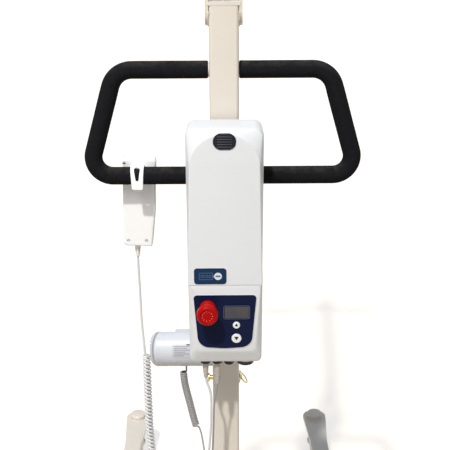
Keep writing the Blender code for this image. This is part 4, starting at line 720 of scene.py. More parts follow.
UNIT_W = 0.1315
UNIT_BACK = -0.037
UNIT_FRONT = -0.122
UNIT_BOTTOM = 0.7775
UNIT_SEAM = 0.927
UNIT_TOP = 1.2015
UNIT_TOP_ROUND = 0.016
BATTERY_SHOULDER = 0.018
ARCH_HALF = 0.0590
ARCH_LOW_HALF = 0.0644
ARCH_SPRING = 1.140
ARCH_RISE = 0.055
SEAM_HALF = 0.0004
CASE_TAPER = 0.0008
CASE_BACK_ROUND = 0.004
GRIP_W = 0.0375
GRIP_H = 0.0262
GRIP_Z = 1.1815
GRIP_STAND = 0.0035
GRIP_DEPTH = 0.010
PANEL_T = 0.001
PANEL_TOP = 0.9094
PANEL_BOTTOM = 0.8050
WINDOW_W = 0.0480
WINDOW_H = 0.0273
WINDOW_T = 0.0012
WINDOW_X = 0.0196
WINDOW_Z = 0.8765
STOP_X = -0.0312
STOP_Z = 0.8850
STOP_HEAD_R = 0.0186
STOP_HEAD_L = 0.0155
STOP_COLLAR_R = 0.0143
STOP_COLLAR_L = 0.0165
STOP_STEM_R = 0.0080
STOP_GAP = 0.0050
BUTTON_X = 0.0191
UP_Z = 0.8515
UP_R = 0.0063
DOWN_Z = 0.8258
DOWN_R = 0.0087
BUTTON_STAND = 0.0018
BUTTON_DEPTH = 0.0030
RUN = 0.0005
SOCKET_Y = -0.095
SOCKET_DROP = 0.0135
SOCKET_R = 0.0095
SOCKET_BORE = 0.0068
SOCKET_X = (-0.0370, -0.0156, 0.0060)
LARGE_SOCKET_X = 0.0355
LARGE_SOCKET_R = 0.0155
PLUG_R = 0.0062
SOCKET_MOUTH = UNIT_BOTTOM - SOCKET_DROP

HANDLE_TOP_Z = 1.281
HANDLE_LOW_Z = 1.091
HANDLE_TOP_HALF = 0.187
HANDLE_LOW_HALF = 0.243
HANDLE_OFFSET = -0.0034
HANDLE_BEND = 0.040
HANDLE_LOW_BEND = 0.034
HANDLE_R = 0.011
FOAM_R = 0.0155
FOAM_LOW_R = 0.0162
FOAM_LEFT_GAP = 0.0018
FOAM_LOW_END = 0.030

HANDSET_X = -0.1570
HANDSET_TOP = 1.116
HANDSET_BOTTOM = 0.9475
HANDSET_HALF = 0.0300
HANDSET_FLARE = 0.0006
HANDSET_TAPER = 0.0055
HANDSET_TILT = math.radians(1.9)
HANDSET_BACK_Y = FOAM_R + 0.004
HANDSET_SPLIT_Y = HANDSET_BACK_Y + 0.014
HANDSET_FRONT_Y = HANDSET_BACK_Y + 0.028
HOOK_W = 0.025
HOOK_TIP_W = 0.020
HOOK_STRIP_T = 0.0028
HOOK_TIP_Z = 1.0702
HOOK_X = -0.0008
HOOK_SWAY = 0.0019
HOOK_CORNER = 0.0016
KEY_R = 0.008
KEY_STAND = 0.0015
KEY_DEPTH = 0.003
RELIEF_X = -0.0040
RELIEF_L = 0.024
RELIEF_R = 0.0059
RELIEF_TIP_R = 0.0038

CLEVIS_Y = 0.087
CLEVIS_Z = 0.6305
MOTOR_RISE = 0.065
MOTOR_R = 0.033
MOTOR_SAG = 0.0025
MOTOR_TALL = 1.085
GLAND_LOW = 0.0395
CABLE_EXIT = 0.0819
BOOM_RAISED = math.radians(26)
PIVOT_Z = MAST_TOP + 0.080
LUG_AT = 0.200
LUG_DROP = 0.056
BOOM_REACH = 0.820
ROD_OUT = 0.330
BAR_HALF = 0.240


def on_boom(along, above):
    """Where a point of the boom lies over the mast's foot, as (y, z)."""
    y = along * math.cos(BOOM_RAISED) - above * math.sin(BOOM_RAISED)
    return y, along * math.sin(BOOM_RAISED) + above * math.cos(BOOM_RAISED) + PIVOT_Z


def clevis_to_lug():
    """The actuator's length between its pivots and its lean from the vertical, at rest."""
    y, z = on_boom(LUG_AT, -LUG_DROP)
    along = Vector((y - CLEVIS_Y, z - CLEVIS_Z))
    return along.length, math.atan2(along.x, along.y)


def handset_lean():
    """The handset hangs from the low bar, turned a little about it."""
    back = shift(0, 0, -HANDLE_LOW_Z)
    return shift(HANDSET_X, 0, HANDLE_LOW_Z) @ Matrix.Rotation(HANDSET_TILT, 4, "Y") @ back


# Stage

FLOOR_GLOW = 0.66
FLOOR_REACH = 40.0


def seen_by_camera(wire):
    """One where the camera, a mirror or a clear body looks, nothing where light bounces."""
    rays = wire.node("ShaderNodeLightPath").outputs
    seen = wire.plus(rays["Is Camera Ray"], rays["Is Glossy Ray"])
    return wire.plus(seen, rays["Is Transmission Ray"], clamp=True)


def floor_finish():
    """Pale floor that keeps the shadow and shows near white to the camera and in reflections."""
    made = bpy.data.materials.new("floor_finish")
    made.use_nodes = True
    wire = Wiring(made.node_tree)
    shader = made.node_tree.nodes["Principled BSDF"].inputs
    place = wire.node("ShaderNodeTexCoord").outputs["Object"]
    patch = wire.spread(wire.noise(place, 3.0, 3.0), 0.3, 0.7)
    wire.feed(shader["Base Color"], wire.blend(patch, (0.50, 0.43, 0.345, 1.0), (0.53, 0.46, 0.375, 1.0)))
    shader["Roughness"].default_value = 0.7
    shader["Emission Color"].default_value = (1.0, 1.0, 1.0, 1.0)
    wire.feed(shader["Emission Strength"], wire.times(seen_by_camera(wire), FLOOR_GLOW))
    return made


def studio_world(stage):
    """Soft pale surroundings that light the lift evenly and show white behind it."""
    world = bpy.data.worlds.new("studio")
    world.use_nodes = True
    wire = Wiring(world.node_tree)
    background = world.node_tree.nodes["Background"].inputs
    seen = seen_by_camera(wire)
    wire.feed(background["Color"], wire.blend(seen, (*stage.sky_colour, 1.0), (1.0, 1.0, 1.0, 1.0)))
    wire.feed(background["Strength"], wire.spread(seen, 0.0, 1.0, stage.sky_strength, 1.0))
    return world


def lamp(name, kind, place, towards, energy, colour):
    data = bpy.data.lights.new(name, kind)
    data.energy = energy
    data.color = colour
    obj = linked(name, data)
    turn = (Vector(towards) - Vector(place)).to_track_quat("-Z", "Y").to_matrix().to_4x4()
    obj.matrix_world = Matrix.Translation(place) @ turn
    return data


def build_stage(scene):
    stage = scene.lift_stage
    data = bpy.data.cameras.new("camera")
    data.lens = stage.lens
    data.sensor_width = 36.0
    data.clip_end = 200.0
    camera = linked("camera", data)
    place = shift(0, MAST_Y - stage.distance, stage.height)
    tilt = Matrix.Rotation(math.pi / 2 - stage.pitch, 4, "X")
    camera.matrix_world = place @ tilt @ Matrix.Rotation(stage.roll, 4, "Z")
    scene.camera = camera

    sheet = bpy.data.meshes.new("floor")
    corners = [(x * FLOOR_REACH, y * FLOOR_REACH, 0) for x, y in ((-1, -1), (1, -1), (1, 1), (-1, 1))]
    sheet.from_pydata(corners, [], [(0, 1, 2, 3)])
    sheet.materials.append(floor_finish())
    linked("floor", sheet)

    scene.world = studio_world(stage)
    middle = Vector((0, MAST_Y, 1.0))
    key = lamp(
        "key light", "SUN", middle - Vector(stage.key_travel) * 4, middle, stage.key_strength,
        stage.key_colour,
    )
    key.angle = stage.key_angle
    place = (-0.5, MAST_Y - 1.0, 2.2)
    front = lamp("front light", "AREA", place, (0, MAST_Y, 1.1), stage.fill_power, (1.0, 1.0, 1.0))
    front.shape = "DISK"
    front.size = 0.8
    scene.view_settings.view_transform = "Standard"


# Cords

POINTS_PER_TURN = 16
HANDSET_TAIL = 0.031
ACTUATOR_TAIL = 0.046


def wound(route, total, radius, turns, start, slant):
    """A helix round a route, its turns slanted down to the right, its ends bent into the route's line."""
    frames = []
    side = Vector((1, 0, 0))
    for i, point in enumerate(route):
        ahead = (route[min(i + 1, len(route) - 1)] - route[max(i - 1, 0)]).normalized()
        side = (side - ahead * side.dot(ahead)).normalized()
        frames.append((point, ahead, side))
    around = math.tau * radius * turns
    lean = math.pi / 2 - math.atan(total / around)
    bend_r, bend_steps = 1.5 * radius, 6
    bend = []
    for i in range(bend_steps + 1):
        turn = lean * i / bend_steps
        bend.append((bend_r * (1 - math.cos(turn)), bend_r * math.sin(turn)))
    first, last = bend[-1], (around - bend[-1][0], total - bend[-1][1])
    count = turns * POINTS_PER_TURN
    flat = list(bend)
    for i in range(1, count):
        flat.append([a + (b - a) * i / count for a, b in zip(first, last)])
    flat += [(around - s, total - along) for s, along in reversed(bend)]
    points = []
    for s, along in flat:
        place = min(along / total, 1.0) * (len(frames) - 1)
        k = min(int(place), len(frames) - 2)
        point, ahead, side = [a.lerp(b, place - k) for a, b in zip(frames[k], frames[k + 1])]
        turn = start + s / radius
        across, behind = radius * math.cos(turn), radius * math.sin(turn)
        points.append(point + side * across + side.cross(ahead) * behind + ahead * (slant * across))
    return points


def coiled(stops, spacing, radius, turns, start, slant, way, plug_end):
    """A cord's coil along its stops, and its way on from there to its plug."""
    route, total = smooth_route(stops, spacing)
    coil = wound(route, total, radius, turns, math.radians(start), slant)
    last = (route[-1] - route[-2]).normalized()
    back, _ = smooth_route([coil[-1], coil[-1] + last * 0.012, *way, plug_end], 0.011)
    return coil, back[1:]


def cord_piece(name, points, width, kind, stands_for):
    """One whole cord as a curve with a single open line, from its exit to its plug."""
    place = [point + Vector((0, MAST_Y, 0)) for point in points]
    data = bpy.data.curves.new(name, "CURVE")
    data.dimensions = "3D"
    spline = data.splines.new("POLY")
    spline.points.add(len(place) - 1)
    for stop, point in zip(spline.points, place):
        stop.co = (*point, 1.0)
    data.bevel_depth = width / 2
    data.bevel_resolution = 4
    data.use_fill_caps = True
    data.materials.append(finish(kind))
    obj = linked(name, data)
    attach(obj, "frame")
    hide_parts(*stands_for)
    length = sum((b - a).length for a, b in zip(place, place[1:]))
    tuple(place[0])


def build_cords(scene):
    sizes = scene.lift_sizes
    build_plugs()
    exit_point = handset_lean() @ Vector((RELIEF_X, HANDSET_SPLIT_Y, HANDSET_BOTTOM - 2 * SEAT - RELIEF_L))
    stops = [
        (-0.1581, 0.0330, 0.7210), (-0.1581, 0.0330, 0.660), (-0.1579, 0.0325, 0.600),
        (-0.1565, 0.0300, 0.530), (-0.1503, 0.0220, 0.462), (-0.1373, 0.0080, 0.412),
        (-0.1173, -0.0120, 0.391),
    ]
    plug_end = Vector((SOCKET_X[0], SOCKET_Y, SOCKET_MOUTH - HANDSET_TAIL - SEAT))
    way = [
        (-0.0850, -0.0450, 0.402), (-0.0620, -0.0680, 0.440), (-0.0400, -0.0860, 0.520),
        (-0.0300, -0.0940, 0.610), (-0.0276, -0.0950, 0.672), (-0.0290, -0.0950, 0.702),
        (plug_end.x + 0.0008, plug_end.y, plug_end.z - 0.008),
    ]
    curl, back = coiled(stops, 0.004, 0.0063, sizes.curl_turns, -112, 0.32, way, plug_end)
    lead_stops = [
        exit_point, (exit_point.x, 0.0330, 0.900), (-0.1655, 0.0330, 0.850), (-0.1644, 0.0318, 0.785),
        (curl[0].x - 0.0010, curl[0].y + 0.0005, 0.742), curl[0],
    ]
    lead, _ = smooth_route(lead_stops, 0.010)
    nodes = ("handset_lead", "handset_curl", "handset_return")
    width = sizes.handset_cord_width
    cord_piece("handset_cord", lead[:-1] + curl + back, width, "cord_white", nodes)

    _, angle = clevis_to_lug()
    down = Vector((0, -math.sin(angle), -math.cos(angle)))
    gland = Vector((-CABLE_EXIT, CLEVIS_Y, CLEVIS_Z)) - down * (MOTOR_RISE - GLAND_LOW - 2 * SEAT)
    stops = [
        (-0.0878, CLEVIS_Y + 0.0040, 0.6505), (-0.0878, CLEVIS_Y + 0.0015, 0.637),
        (-0.0862, CLEVIS_Y - 0.0010, 0.620), (-0.0825, CLEVIS_Y - 0.0040, 0.602),
        (-0.0762, CLEVIS_Y - 0.009, 0.577), (-0.0688, CLEVIS_Y - 0.017, 0.548),
        (-0.0604, CLEVIS_Y - 0.028, 0.522),
    ]
    plug_end = Vector((SOCKET_X[1], SOCKET_Y, SOCKET_MOUTH - ACTUATOR_TAIL - SEAT))
    way = [
        (-0.0440, 0.0330, 0.470), (-0.0400, -0.0100, 0.440), (-0.0340, -0.0560, 0.470),
        (-0.0270, -0.0860, 0.560), (-0.0235, -0.0940, 0.640), (-0.0222, -0.0950, 0.677),
        (plug_end.x - 0.0022, plug_end.y, plug_end.z - 0.012),
    ]
    coil, back = coiled(stops, 0.003, 0.0060, sizes.coil_turns, -15, 0.0, way, plug_end)
    nodes = ("actuator_coil", "actuator_return")
    width = sizes.actuator_cord_width
    cord_piece("actuator_cable", [gland, *coil, *back], width, "cord_grey", nodes)


# Pieces

SIDES = ((-1, "left"), (1, "right"))


def stops_on(path, reach=0.0, ease=0.0, steps=5):
    """Places along a path with its direction and the share of the outline, its two tips rounded over."""
    first = (path[1] - path[0]).normalized()
    last = (path[-1] - path[-2]).normalized()
    stops = []
    for i, point in enumerate(path):
        before, after = path[max(i - 1, 0)], path[min(i + 1, len(path) - 1)]
        stops.append((point, (after - before).normalized(), 1.0))
    if not ease:
        return stops
    head, tail = [], []
    for along, short in quarter(steps):
        share = 1 - ease * short / reach
        head.append((path[0] + first * (ease * along), first, share))
        tail.append((path[-1] - last * (ease * along), last, share))
    return head + stops[1:-1] + tail[::-1]


def carried(stops, across, outline, bore=None):
    """An outline carried along the stops of a flat path, hollow where it has a bore."""
    across = Vector(across)
    rings, holes = [], []
    for point, ahead, share in stops:
        side = ahead.cross(across)
        rings.append([point + (side * p[0] + across * p[1]) * share for p in outline])
        if bore:
            holes.append([point + side * p[0] + across * p[1] for p in bore])
    return skinned(rings + holes[::-1], looped=bool(bore))


def handle_path(side, top_start, low_end):
    """One C of the push handle, from beside the mast at the top round to beside it at the bottom."""
    corners = (
        (side * top_start, 0, HANDLE_TOP_Z), (HANDLE_OFFSET + side * HANDLE_TOP_HALF, 0, HANDLE_TOP_Z),
        (HANDLE_OFFSET + side * HANDLE_LOW_HALF, 0, HANDLE_LOW_Z), (side * low_end, 0, HANDLE_LOW_Z),
    )
    bent = bent_path(corners, (HANDLE_BEND, HANDLE_LOW_BEND), steps=18)
    path = [bent[0]]
    for a, b in zip(bent, bent[1:]):
        pieces = max(1, round((b - a).length / 0.012))
        path += [a.lerp(b, (i + 1) / pieces) for i in range(pieces)]
    return path


def build_handle(scene):
    beside = MAST_SIDE / 2 + SEAT
    for side, word, gap in ((-1, "left", FOAM_LEFT_GAP), (1, "right", SEAT)):
        tube = carried(stops_on(handle_path(side, beside, beside)), (0, 1, 0), circle(HANDLE_R, 32))
        piece("handle_tube_" + word, tube, "cream_paint", "frame", ["handle_" + word])
        beads = []
        for z in (HANDLE_TOP_Z, HANDLE_LOW_Z)[side == 1:]:
            ring = [Vector((side * (beside + 0.0008), p.x, z + p.y)) for p in circle(HANDLE_R + 0.0004, 48)]
            beads.append(weld(ring))
        piece("handle_weld_" + word, together(*beads), "cream_paint", "frame")
        route = handle_path(side, beside + gap, FOAM_LOW_END)
        stops = []
        for point, ahead, share in stops_on(route, FOAM_R, 0.0022):
            down = min(1.0, (HANDLE_TOP_Z - point.z) / HANDLE_BEND)
            stops.append((point, ahead, share * (1 + (FOAM_LOW_R / FOAM_R - 1) * down)))
        foam = carried(stops, (0, 1, 0), circle(FOAM_R, 48), circle(HANDLE_R + SEAT, 48))
        soften(foam, 0.00022, 0.030)
        sleeve = piece("foam_grip_" + word, foam, "foam_black", "frame", ["handle_foam_" + word])


def soften(mesh, depth, patch):
    """Presses slow shallow hollows into a mesh, as hands do to foam."""
    for vertex in mesh.vertices:
        wave = noise.noise(Vector(vertex.co) / patch)
        vertex.co -= vertex.normal * depth * (0.5 + 0.5 * wave)


def offset(outline, by):
    """The outline moved outwards by a distance, corner by corner."""
    points = [Vector(p) for p in outline]
    area = sum(a.x * b.y - b.x * a.y for a, b in zip(points, points[1:] + points[:1]))
    turn = 1 if area > 0 else -1
    moved_out = []
    for i, point in enumerate(points):
        along = (points[(i + 1) % len(points)] - points[i - 1]).normalized()
        moved_out.append(point + Vector((along.y, -along.x)) * (by * turn))
    return moved_out


def frame_line(outline, width, axis, start, end):
    """A raised printed line that follows an outline on its inner side."""
    return tube_prism(outline, offset(outline, -width), axis, start, end)


def arch_outline(inset, steps):
    """The battery's raised front: straight sides that run up into a round arch."""
    half = ARCH_HALF - inset
    low = UNIT_SEAM + SEAM_HALF
    foot = ARCH_LOW_HALF - inset
    points = [Vector((-foot, low)), Vector((foot, low))]
    for i in range(steps + 1):
        turn = math.pi * i / steps
        points.append(Vector((half * math.cos(turn), ARCH_SPRING + (ARCH_RISE - inset) * math.sin(turn))))
    return points


def battery_outline(inset, steps):
    """The battery case's outline with as many points as its arch, from the low left corner round."""
    half = UNIT_W / 2 - inset
    low, high = UNIT_SEAM + SEAM_HALF, UNIT_TOP - inset
    foot = half - CASE_TAPER
    points = [Vector((-foot, low)), Vector((foot, low))]
    radius = UNIT_TOP_ROUND - inset / 2
    corner_steps = (steps - 1) // 2
    for side, start in ((1, 0.0), (-1, math.pi / 2)):
        for i in range(corner_steps + 1):
            turn = start + math.pi / 2 * i / corner_steps
            centre = Vector((side * (half - radius), high - radius))
            points.append(centre + radius * Vector((math.cos(turn), math.sin(turn))))
    return points


def build_battery(scene):
    sizes = scene.lift_sizes
    steps = 61
    sections = [
        (UNIT_BACK - CASE_BACK_ROUND * c, CASE_BACK_ROUND * s, battery_outline) for c, s in quarter(5)
    ]
    for behind, inset in ((BATTERY_SHOULDER + 0.004, 0.0), (BATTERY_SHOULDER, 0.0004)):
        sections.append((UNIT_FRONT + behind, inset, battery_outline))
    for share, inset in ((0.75, 0.0015), (0.6, 0.0025)):
        sections.append((UNIT_FRONT + BATTERY_SHOULDER * share, inset, battery_outline))
    sections.append((UNIT_FRONT + 0.0022, -0.0006, arch_outline))
    sections += [(UNIT_FRONT + 0.0016 * s, 0.0022 * c, arch_outline) for c, s in quarter(5)]
    rings = [laid(outline(inset, steps), "y", y) for y, inset, outline in sections]
    oval = rounded(GRIP_W + 2 * RUN, GRIP_H + 2 * RUN, GRIP_H / 2, (0, GRIP_Z), 14)
    pocket = prism(oval, "y", UNIT_FRONT - 0.02, UNIT_FRONT + GRIP_DEPTH + 0.0035)
    case = cut(skinned(rings), pocket)
    piece("battery_case", case, "unit_white", "battery", ["battery_pack"], ease=0.0003)

    plate = rounded(0.0562, 0.0298, 0.0056, (sizes.label_x, sizes.label_z), 8)
    front = UNIT_FRONT
    rim = prism(offset(plate, 0.0011), "y", front - 0.00025, front + 0.0005)
    piece("label_rim", rim, "print_pale", "battery")
    film = prism(plate, "y", front - 0.0004, front + 0.0005)
    piece("label_plate", film, "label_navy", "battery")
    marks = label_marks(sizes.label_x, sizes.label_z, front - 0.0004)
    piece("label_marks", marks, "print_blue", "battery")
    disc = rod_shape(0.0067, "y", front - 0.0006, front, (sizes.label_x + 0.0134, 0, sizes.label_z), 40)
    piece("label_disc", disc, "print_pale", "battery")
    bar = prism(
        rounded(0.0085, 0.0034, 0.0006, (sizes.label_x + 0.0134, sizes.label_z), 4), "y", front - 0.0007,
        front,
    )
    piece("label_disc_bar", bar, "print_blue", "battery")

    oval = rounded(GRIP_W, GRIP_H, GRIP_H / 2 - 0.0005, (0, 0), 14)
    rings = [laid(oval, "y", GRIP_DEPTH)]
    rings += [laid(offset(oval, -0.0016 * c), "y", -GRIP_STAND + 0.0014 + 0.0016 * s) for c, s in quarter(5)]
    at = shift(0, UNIT_FRONT, GRIP_Z)
    mesh = skinned(rings)
    piece("grip_body", mesh, "grip_black", "battery_catch", ["battery_grip"], at)
    # The ribs take a lighter black, a painted highlight where their tops catch the light.
    rib = soft_rod(0.0009, "x", -0.0125, 0.0125, 0.0009, (0, -GRIP_STAND + 0.0010, 0), 10, 3)
    step = 0.00425
    ribs = grown(row_tree(), rib, count=sizes.grip_ribs, step=(0.0, 0.0, step), material=finish("rib_black"))
    down = shift(0, 0, -step * (sizes.grip_ribs - 1) / 2)
    piece("grip_ribs", ribs, "rib_black", "battery_catch", at=at @ down)


def label_marks(x, z, front):
    """A plain outline of a battery with level bars, as a thin print."""
    outline = rounded(0.0236, 0.0128, 0.0012, (x - 0.0075, z), 4)
    parts = [frame_line(outline, 0.0005, "y", front - 0.0002, front + 0.0002)]
    knob = rounded(0.0016, 0.0050, 0.0004, (x + 0.0054, z), 3)
    parts.append(prism(knob, "y", front - 0.0002, front + 0.0002))
    for i in range(4):
        bar = rounded(0.0030, 0.0052, 0.0004, (x - 0.0150 + i * 0.0050, z), 3)
        parts.append(frame_line(bar, 0.0004, "y", front - 0.0002, front + 0.0002))
    return together(*parts)


# The control box's front edge and chin: distance behind the front, side inset, rise of the underside
CHIN = (
    (0.0118, 0.0, 0.0),
    (0.0100, 0.0003, 0.0006),
    (0.0090, 0.0007, 0.0020),
    (0.0080, 0.0012, 0.0045),
    (0.0060, 0.0028, 0.0100),
    (0.0040, 0.0048, 0.0154),
    (0.0022, 0.0068, 0.0200),
    (0.0010, 0.0084, 0.0234),
    (0.0003, 0.0098, 0.0258),
    (0.0, 0.0115, 0.0285),
)
SKIRT = 0.0042


def face_holes(start, end):
    """Cutters for the two buttons and the stop's stem."""
    holes = ((UP_R, BUTTON_X, UP_Z), (DOWN_R, BUTTON_X, DOWN_Z), (STOP_STEM_R, STOP_X, STOP_Z))
    return [rod_shape(radius + RUN, "y", start, end, (x, 0, z)) for radius, x, z in holes]


def build_control_box(scene):
    top = UNIT_SEAM - SEAM_HALF
    sections = [(UNIT_BACK - CASE_BACK_ROUND * c, CASE_BACK_ROUND * s, 0.0) for c, s in quarter(5)]
    sections += [(UNIT_FRONT + behind, side, low) for behind, side, low in CHIN]
    rings = []
    for y, inset, low in sections:
        floor, half = UNIT_BOTTOM - SKIRT + low, UNIT_W / 2
        foot = half - 0.0014 - 1.2 * inset
        head = half - 0.0008 - 0.35 * inset
        corners = ((-foot, floor), (foot, floor), (head, top), (-head, top))
        outline = filleted(corners, (0.0100, 0.0100, 0.0006, 0.0006), 12)
        rings.append(laid(outline, "y", y))
    wall = 0.0030
    back, front = UNIT_BACK - CASE_BACK_ROUND - wall, UNIT_FRONT + CHIN[0][0] + wall
    hollow = rounded(UNIT_W - 0.0028 - 2 * wall, back - front, 0.0075, (0, (back + front) / 2))
    hollow = prism(hollow, "z", UNIT_BOTTOM - SKIRT - 0.001, UNIT_BOTTOM)
    disc = rod_shape(
        LARGE_SOCKET_R, "z", UNIT_BOTTOM - 0.006, UNIT_BOTTOM + 0.006, (LARGE_SOCKET_X, SOCKET_Y, 0)
    )
    pockets = face_holes(UNIT_FRONT - 0.01, UNIT_FRONT + 0.012)
    case = cut(joined(cut(skinned(rings), hollow), disc), *pockets)
    piece("control_case", case, "box_white", "frame", ["control_box"], ease=0.0003)


def panel_outline():
    corners = (
        (-0.0489, PANEL_BOTTOM + 0.0035), (-0.0012, PANEL_BOTTOM), (0.0465, PANEL_BOTTOM + 0.0035),
        (0.0552, PANEL_TOP), (-0.0568, PANEL_TOP),
    )
    return filleted(corners, (0.022, 0.100, 0.022, 0.0070, 0.0070), 14)


def build_control_face(scene):
    sizes = scene.lift_sizes
    face = UNIT_FRONT - SEAT
    front = face - PANEL_T - SEAT
    outline = panel_outline()
    film = cut(
        prism(offset(outline, -0.0007), "y", face - PANEL_T, face), *face_holes(face - 0.01, face + 0.01)
    )
    piece("panel_film", film, "panel_navy", "frame", ["control_panel"], ease=0.0002)
    # A pale ring round the panel: a painted highlight where the edge of its recess catches the light.
    rim = tube_prism(outline, offset(outline, -0.00065), "y", face - PANEL_T * 0.7, face)
    piece("panel_rim", rim, "print_pale", "frame")

    glass = rounded(WINDOW_W, WINDOW_H, 0.0045, (WINDOW_X, WINDOW_Z), 8)
    plate = prism(glass, "y", front - WINDOW_T, front)
    piece("window_plate", plate, "panel_navy", "frame", ["display_window"], ease=0.0003)
    top = front - WINDOW_T
    line = frame_line(offset(glass, -0.0008), 0.0007, "y", top - 0.0001, top + 0.0002)
    piece("window_line", line, "print_dim", "frame")
    screen = rounded(sizes.screen_width, sizes.screen_height, 0.0006, (WINDOW_X + 0.0003, WINDOW_Z), 4)
    shown = prism(screen, "y", top - 0.00012, top + 0.0002)
    piece("display_screen", shown, "display_grey", "frame")

    build_stop(sizes, front)
    buttons = (("up", UP_R, UP_Z, 0.0030, 0.0032), ("down", DOWN_R, DOWN_Z, 0.0042, -0.0041))
    for word, radius, z, wide, point in buttons:
        body = "panel_" + word
        profile = [(radius, BUTTON_DEPTH), (radius, -BUTTON_STAND + 0.0009)]
        profile += [(radius - 0.0009 * c, -BUTTON_STAND + 0.0009 * s) for c, s in quarter(5)[1:]]
        profile.append((radius * 0.5, -BUTTON_STAND - 0.0001))
        at = shift(BUTTON_X, face - PANEL_T, z)
        mesh = turned(profile, "y")
        piece(word + "_button_cap", mesh, "button_white", body, [word + "_button"], at)
        base, tip = 0.0008 - 0.7 * point, 0.0008 + point
        corners = ((-wide, base), (wide, base), (0, tip))
        arrow = prism(
            filleted(corners, [0.0004] * 3, 4), "y", -BUTTON_STAND - 0.00025, -BUTTON_STAND + 0.0002
        )
        piece(word + "_arrow", arrow, "print_black", body, at=at)


def build_stop(sizes, front):
    """Emergency stop: grooved collar, stem, and the mushroom head with its dished face."""
    at = shift(STOP_X, 0, STOP_Z)
    low, high = front - STOP_COLLAR_L, front
    r, groove, bore = STOP_COLLAR_R, STOP_COLLAR_R - 0.0006, STOP_STEM_R + RUN
    profile = [(bore, high), (r, high), (r, high - 0.006), (groove, high - 0.0066), (groove, high - 0.0076)]
    profile += [
        (r, high - 0.0082), (r, low + 0.0012), (r - 0.0004, low + 0.0004), (r - 0.0012, low), (bore, low)
    ]
    collar = turned(profile, "y", looped=True, sides=64)
    piece("stop_collar_ring", collar, "stop_red", "frame", ["stop_collar"], at)
    back = low - STOP_GAP
    stem_end = back - STOP_HEAD_L + 0.004
    stem = rod_shape(STOP_STEM_R, "y", stem_end, UNIT_FRONT + 0.005)
    piece("stop_stem_rod", stem, "stop_red", "stop_plunger", ["stop_stem"], at)
    edge = back - STOP_HEAD_L
    profile = [(0.0004, stem_end - SEAT), (STOP_STEM_R + SEAT, stem_end - SEAT)]
    profile += [(STOP_STEM_R + SEAT, back), (STOP_HEAD_R - 0.003, back)]
    profile += [(STOP_HEAD_R - 0.003 * s, back - 0.003 * c) for c, s in quarter(6)[1:]]
    rim_r = 0.0058
    profile += [(STOP_HEAD_R - rim_r * c, edge + rim_r * s) for c, s in quarter(8)]
    profile += [(0.0125, edge + 0.0006), (0.0121, edge + 0.0016), (0.0114, edge + 0.0020)]
    profile += [
        (0.0062, edge + 0.0021), (0.0056, edge + 0.0017), (0.0050, edge + 0.0016), (0.0004, edge + 0.0014)
    ]
    head = turned(profile, "y", sides=72)
    piece("stop_mushroom_head", head, "stop_red", "stop_mushroom", ["stop_head"], at)
    dots = grown(
        ring_tree(), count=sizes.stop_dots, ring_radius=0.0088, dot_radius=0.00085,
        material=finish("stop_mark"),
    )
    dots.transform(shift(0, edge + 0.0020, 0) @ Matrix.Diagonal((1, 0.4, 1, 1)))
    piece("stop_dots", dots, "stop_mark", "stop_mushroom", at=at)


def build_connectors(scene):
    top = UNIT_BOTTOM - SEAT
    width = SOCKET_X[2] - SOCKET_X[0] + 2 * SOCKET_R + 0.002
    strip = prism(rounded(width, 0.022, 0.006, (SOCKET_X[1], SOCKET_Y), 8), "z", top - 0.003, top)
    parts = [strip]
    for x in SOCKET_X:
        low = SOCKET_MOUTH
        profile = [(SOCKET_BORE, top - 0.002), (SOCKET_R, top - 0.002), (SOCKET_R, low + 0.0012)]
        profile += [(SOCKET_R - 0.0004, low + 0.0003), (SOCKET_R - 0.0012, low), (SOCKET_BORE, low)]
        parts.append(turned(profile, "z", (x, SOCKET_Y, 0), looped=True))
        grooves = [(SOCKET_R + 0.0003, low + 0.0032), (SOCKET_R + 0.0003, low + 0.0040)]
        parts.append(
            turned(
                [(SOCKET_R - 0.001, low + 0.0028), *grooves, (SOCKET_R - 0.001, low + 0.0044)], "z",
                (x, SOCKET_Y, 0),
            )
        )
    strip_whole = together(*parts)
    piece("socket_strip", strip_whole, "plastic_black", "frame", ["connector_strip"], ease=0.0002)

    large_top = UNIT_BOTTOM - 0.006 - SEAT
    low = SOCKET_MOUTH
    profile = [(0.0005, large_top - 0.004), (0.0105, large_top - 0.004), (0.0105, low + 0.001), (0.0115, low)]
    profile += [(LARGE_SOCKET_R - 0.0012, low), (LARGE_SOCKET_R, low + 0.0012), (LARGE_SOCKET_R, large_top)]
    profile.append((0.0005, large_top))
    large = turned(profile, "z", (LARGE_SOCKET_X, SOCKET_Y, 0), sides=64)
    piece("charging_socket", large, "plastic_black", "frame", ["charger_socket"])

    profile = [(PLUG_R, top - 0.004), (PLUG_R, low - SEAT), (SOCKET_R - 0.0010, low - SEAT)]
    profile += [(SOCKET_R - 0.0010, low - 0.0012), (SOCKET_R - 0.0018, low - 0.0020), (0.001, low - 0.0022)]
    blank = turned(profile, "z", (SOCKET_X[2], SOCKET_Y, 0))
    piece("blanking_plug", blank, "plastic_black", "frame", ["blank_plug"])


def build_plugs():
    """The two cable plugs with the tapered tails that hold the cables."""
    low = SOCKET_MOUTH
    tail = [(PLUG_R, low - 0.0005), (PLUG_R - 0.0003, low - 0.002)]
    for i in range(9):
        share = i / 8
        tail.append((PLUG_R - 0.0004 - 0.0022 * share**1.3, low - 0.003 - 0.0275 * share))
    tail.append((0.0028, low - HANDSET_TAIL))
    plug("handset_plug", SOCKET_X[0], tail)
    tail = [(PLUG_R, low - 0.020), (PLUG_R - 0.0004, low - 0.021)]
    for i in range(4):
        z = low - 0.0274 - i * 0.0046
        r = 0.0056 - i * 0.0003
        tail += [(r, z), (r - 0.0013, z - 0.0004), (r - 0.0013, z - 0.0011), (r - 0.0002, z - 0.0015)]
    tail += [(0.0040, low - 0.0450), (0.0028, low - ACTUATOR_TAIL)]
    plug("actuator_plug", SOCKET_X[1], tail)


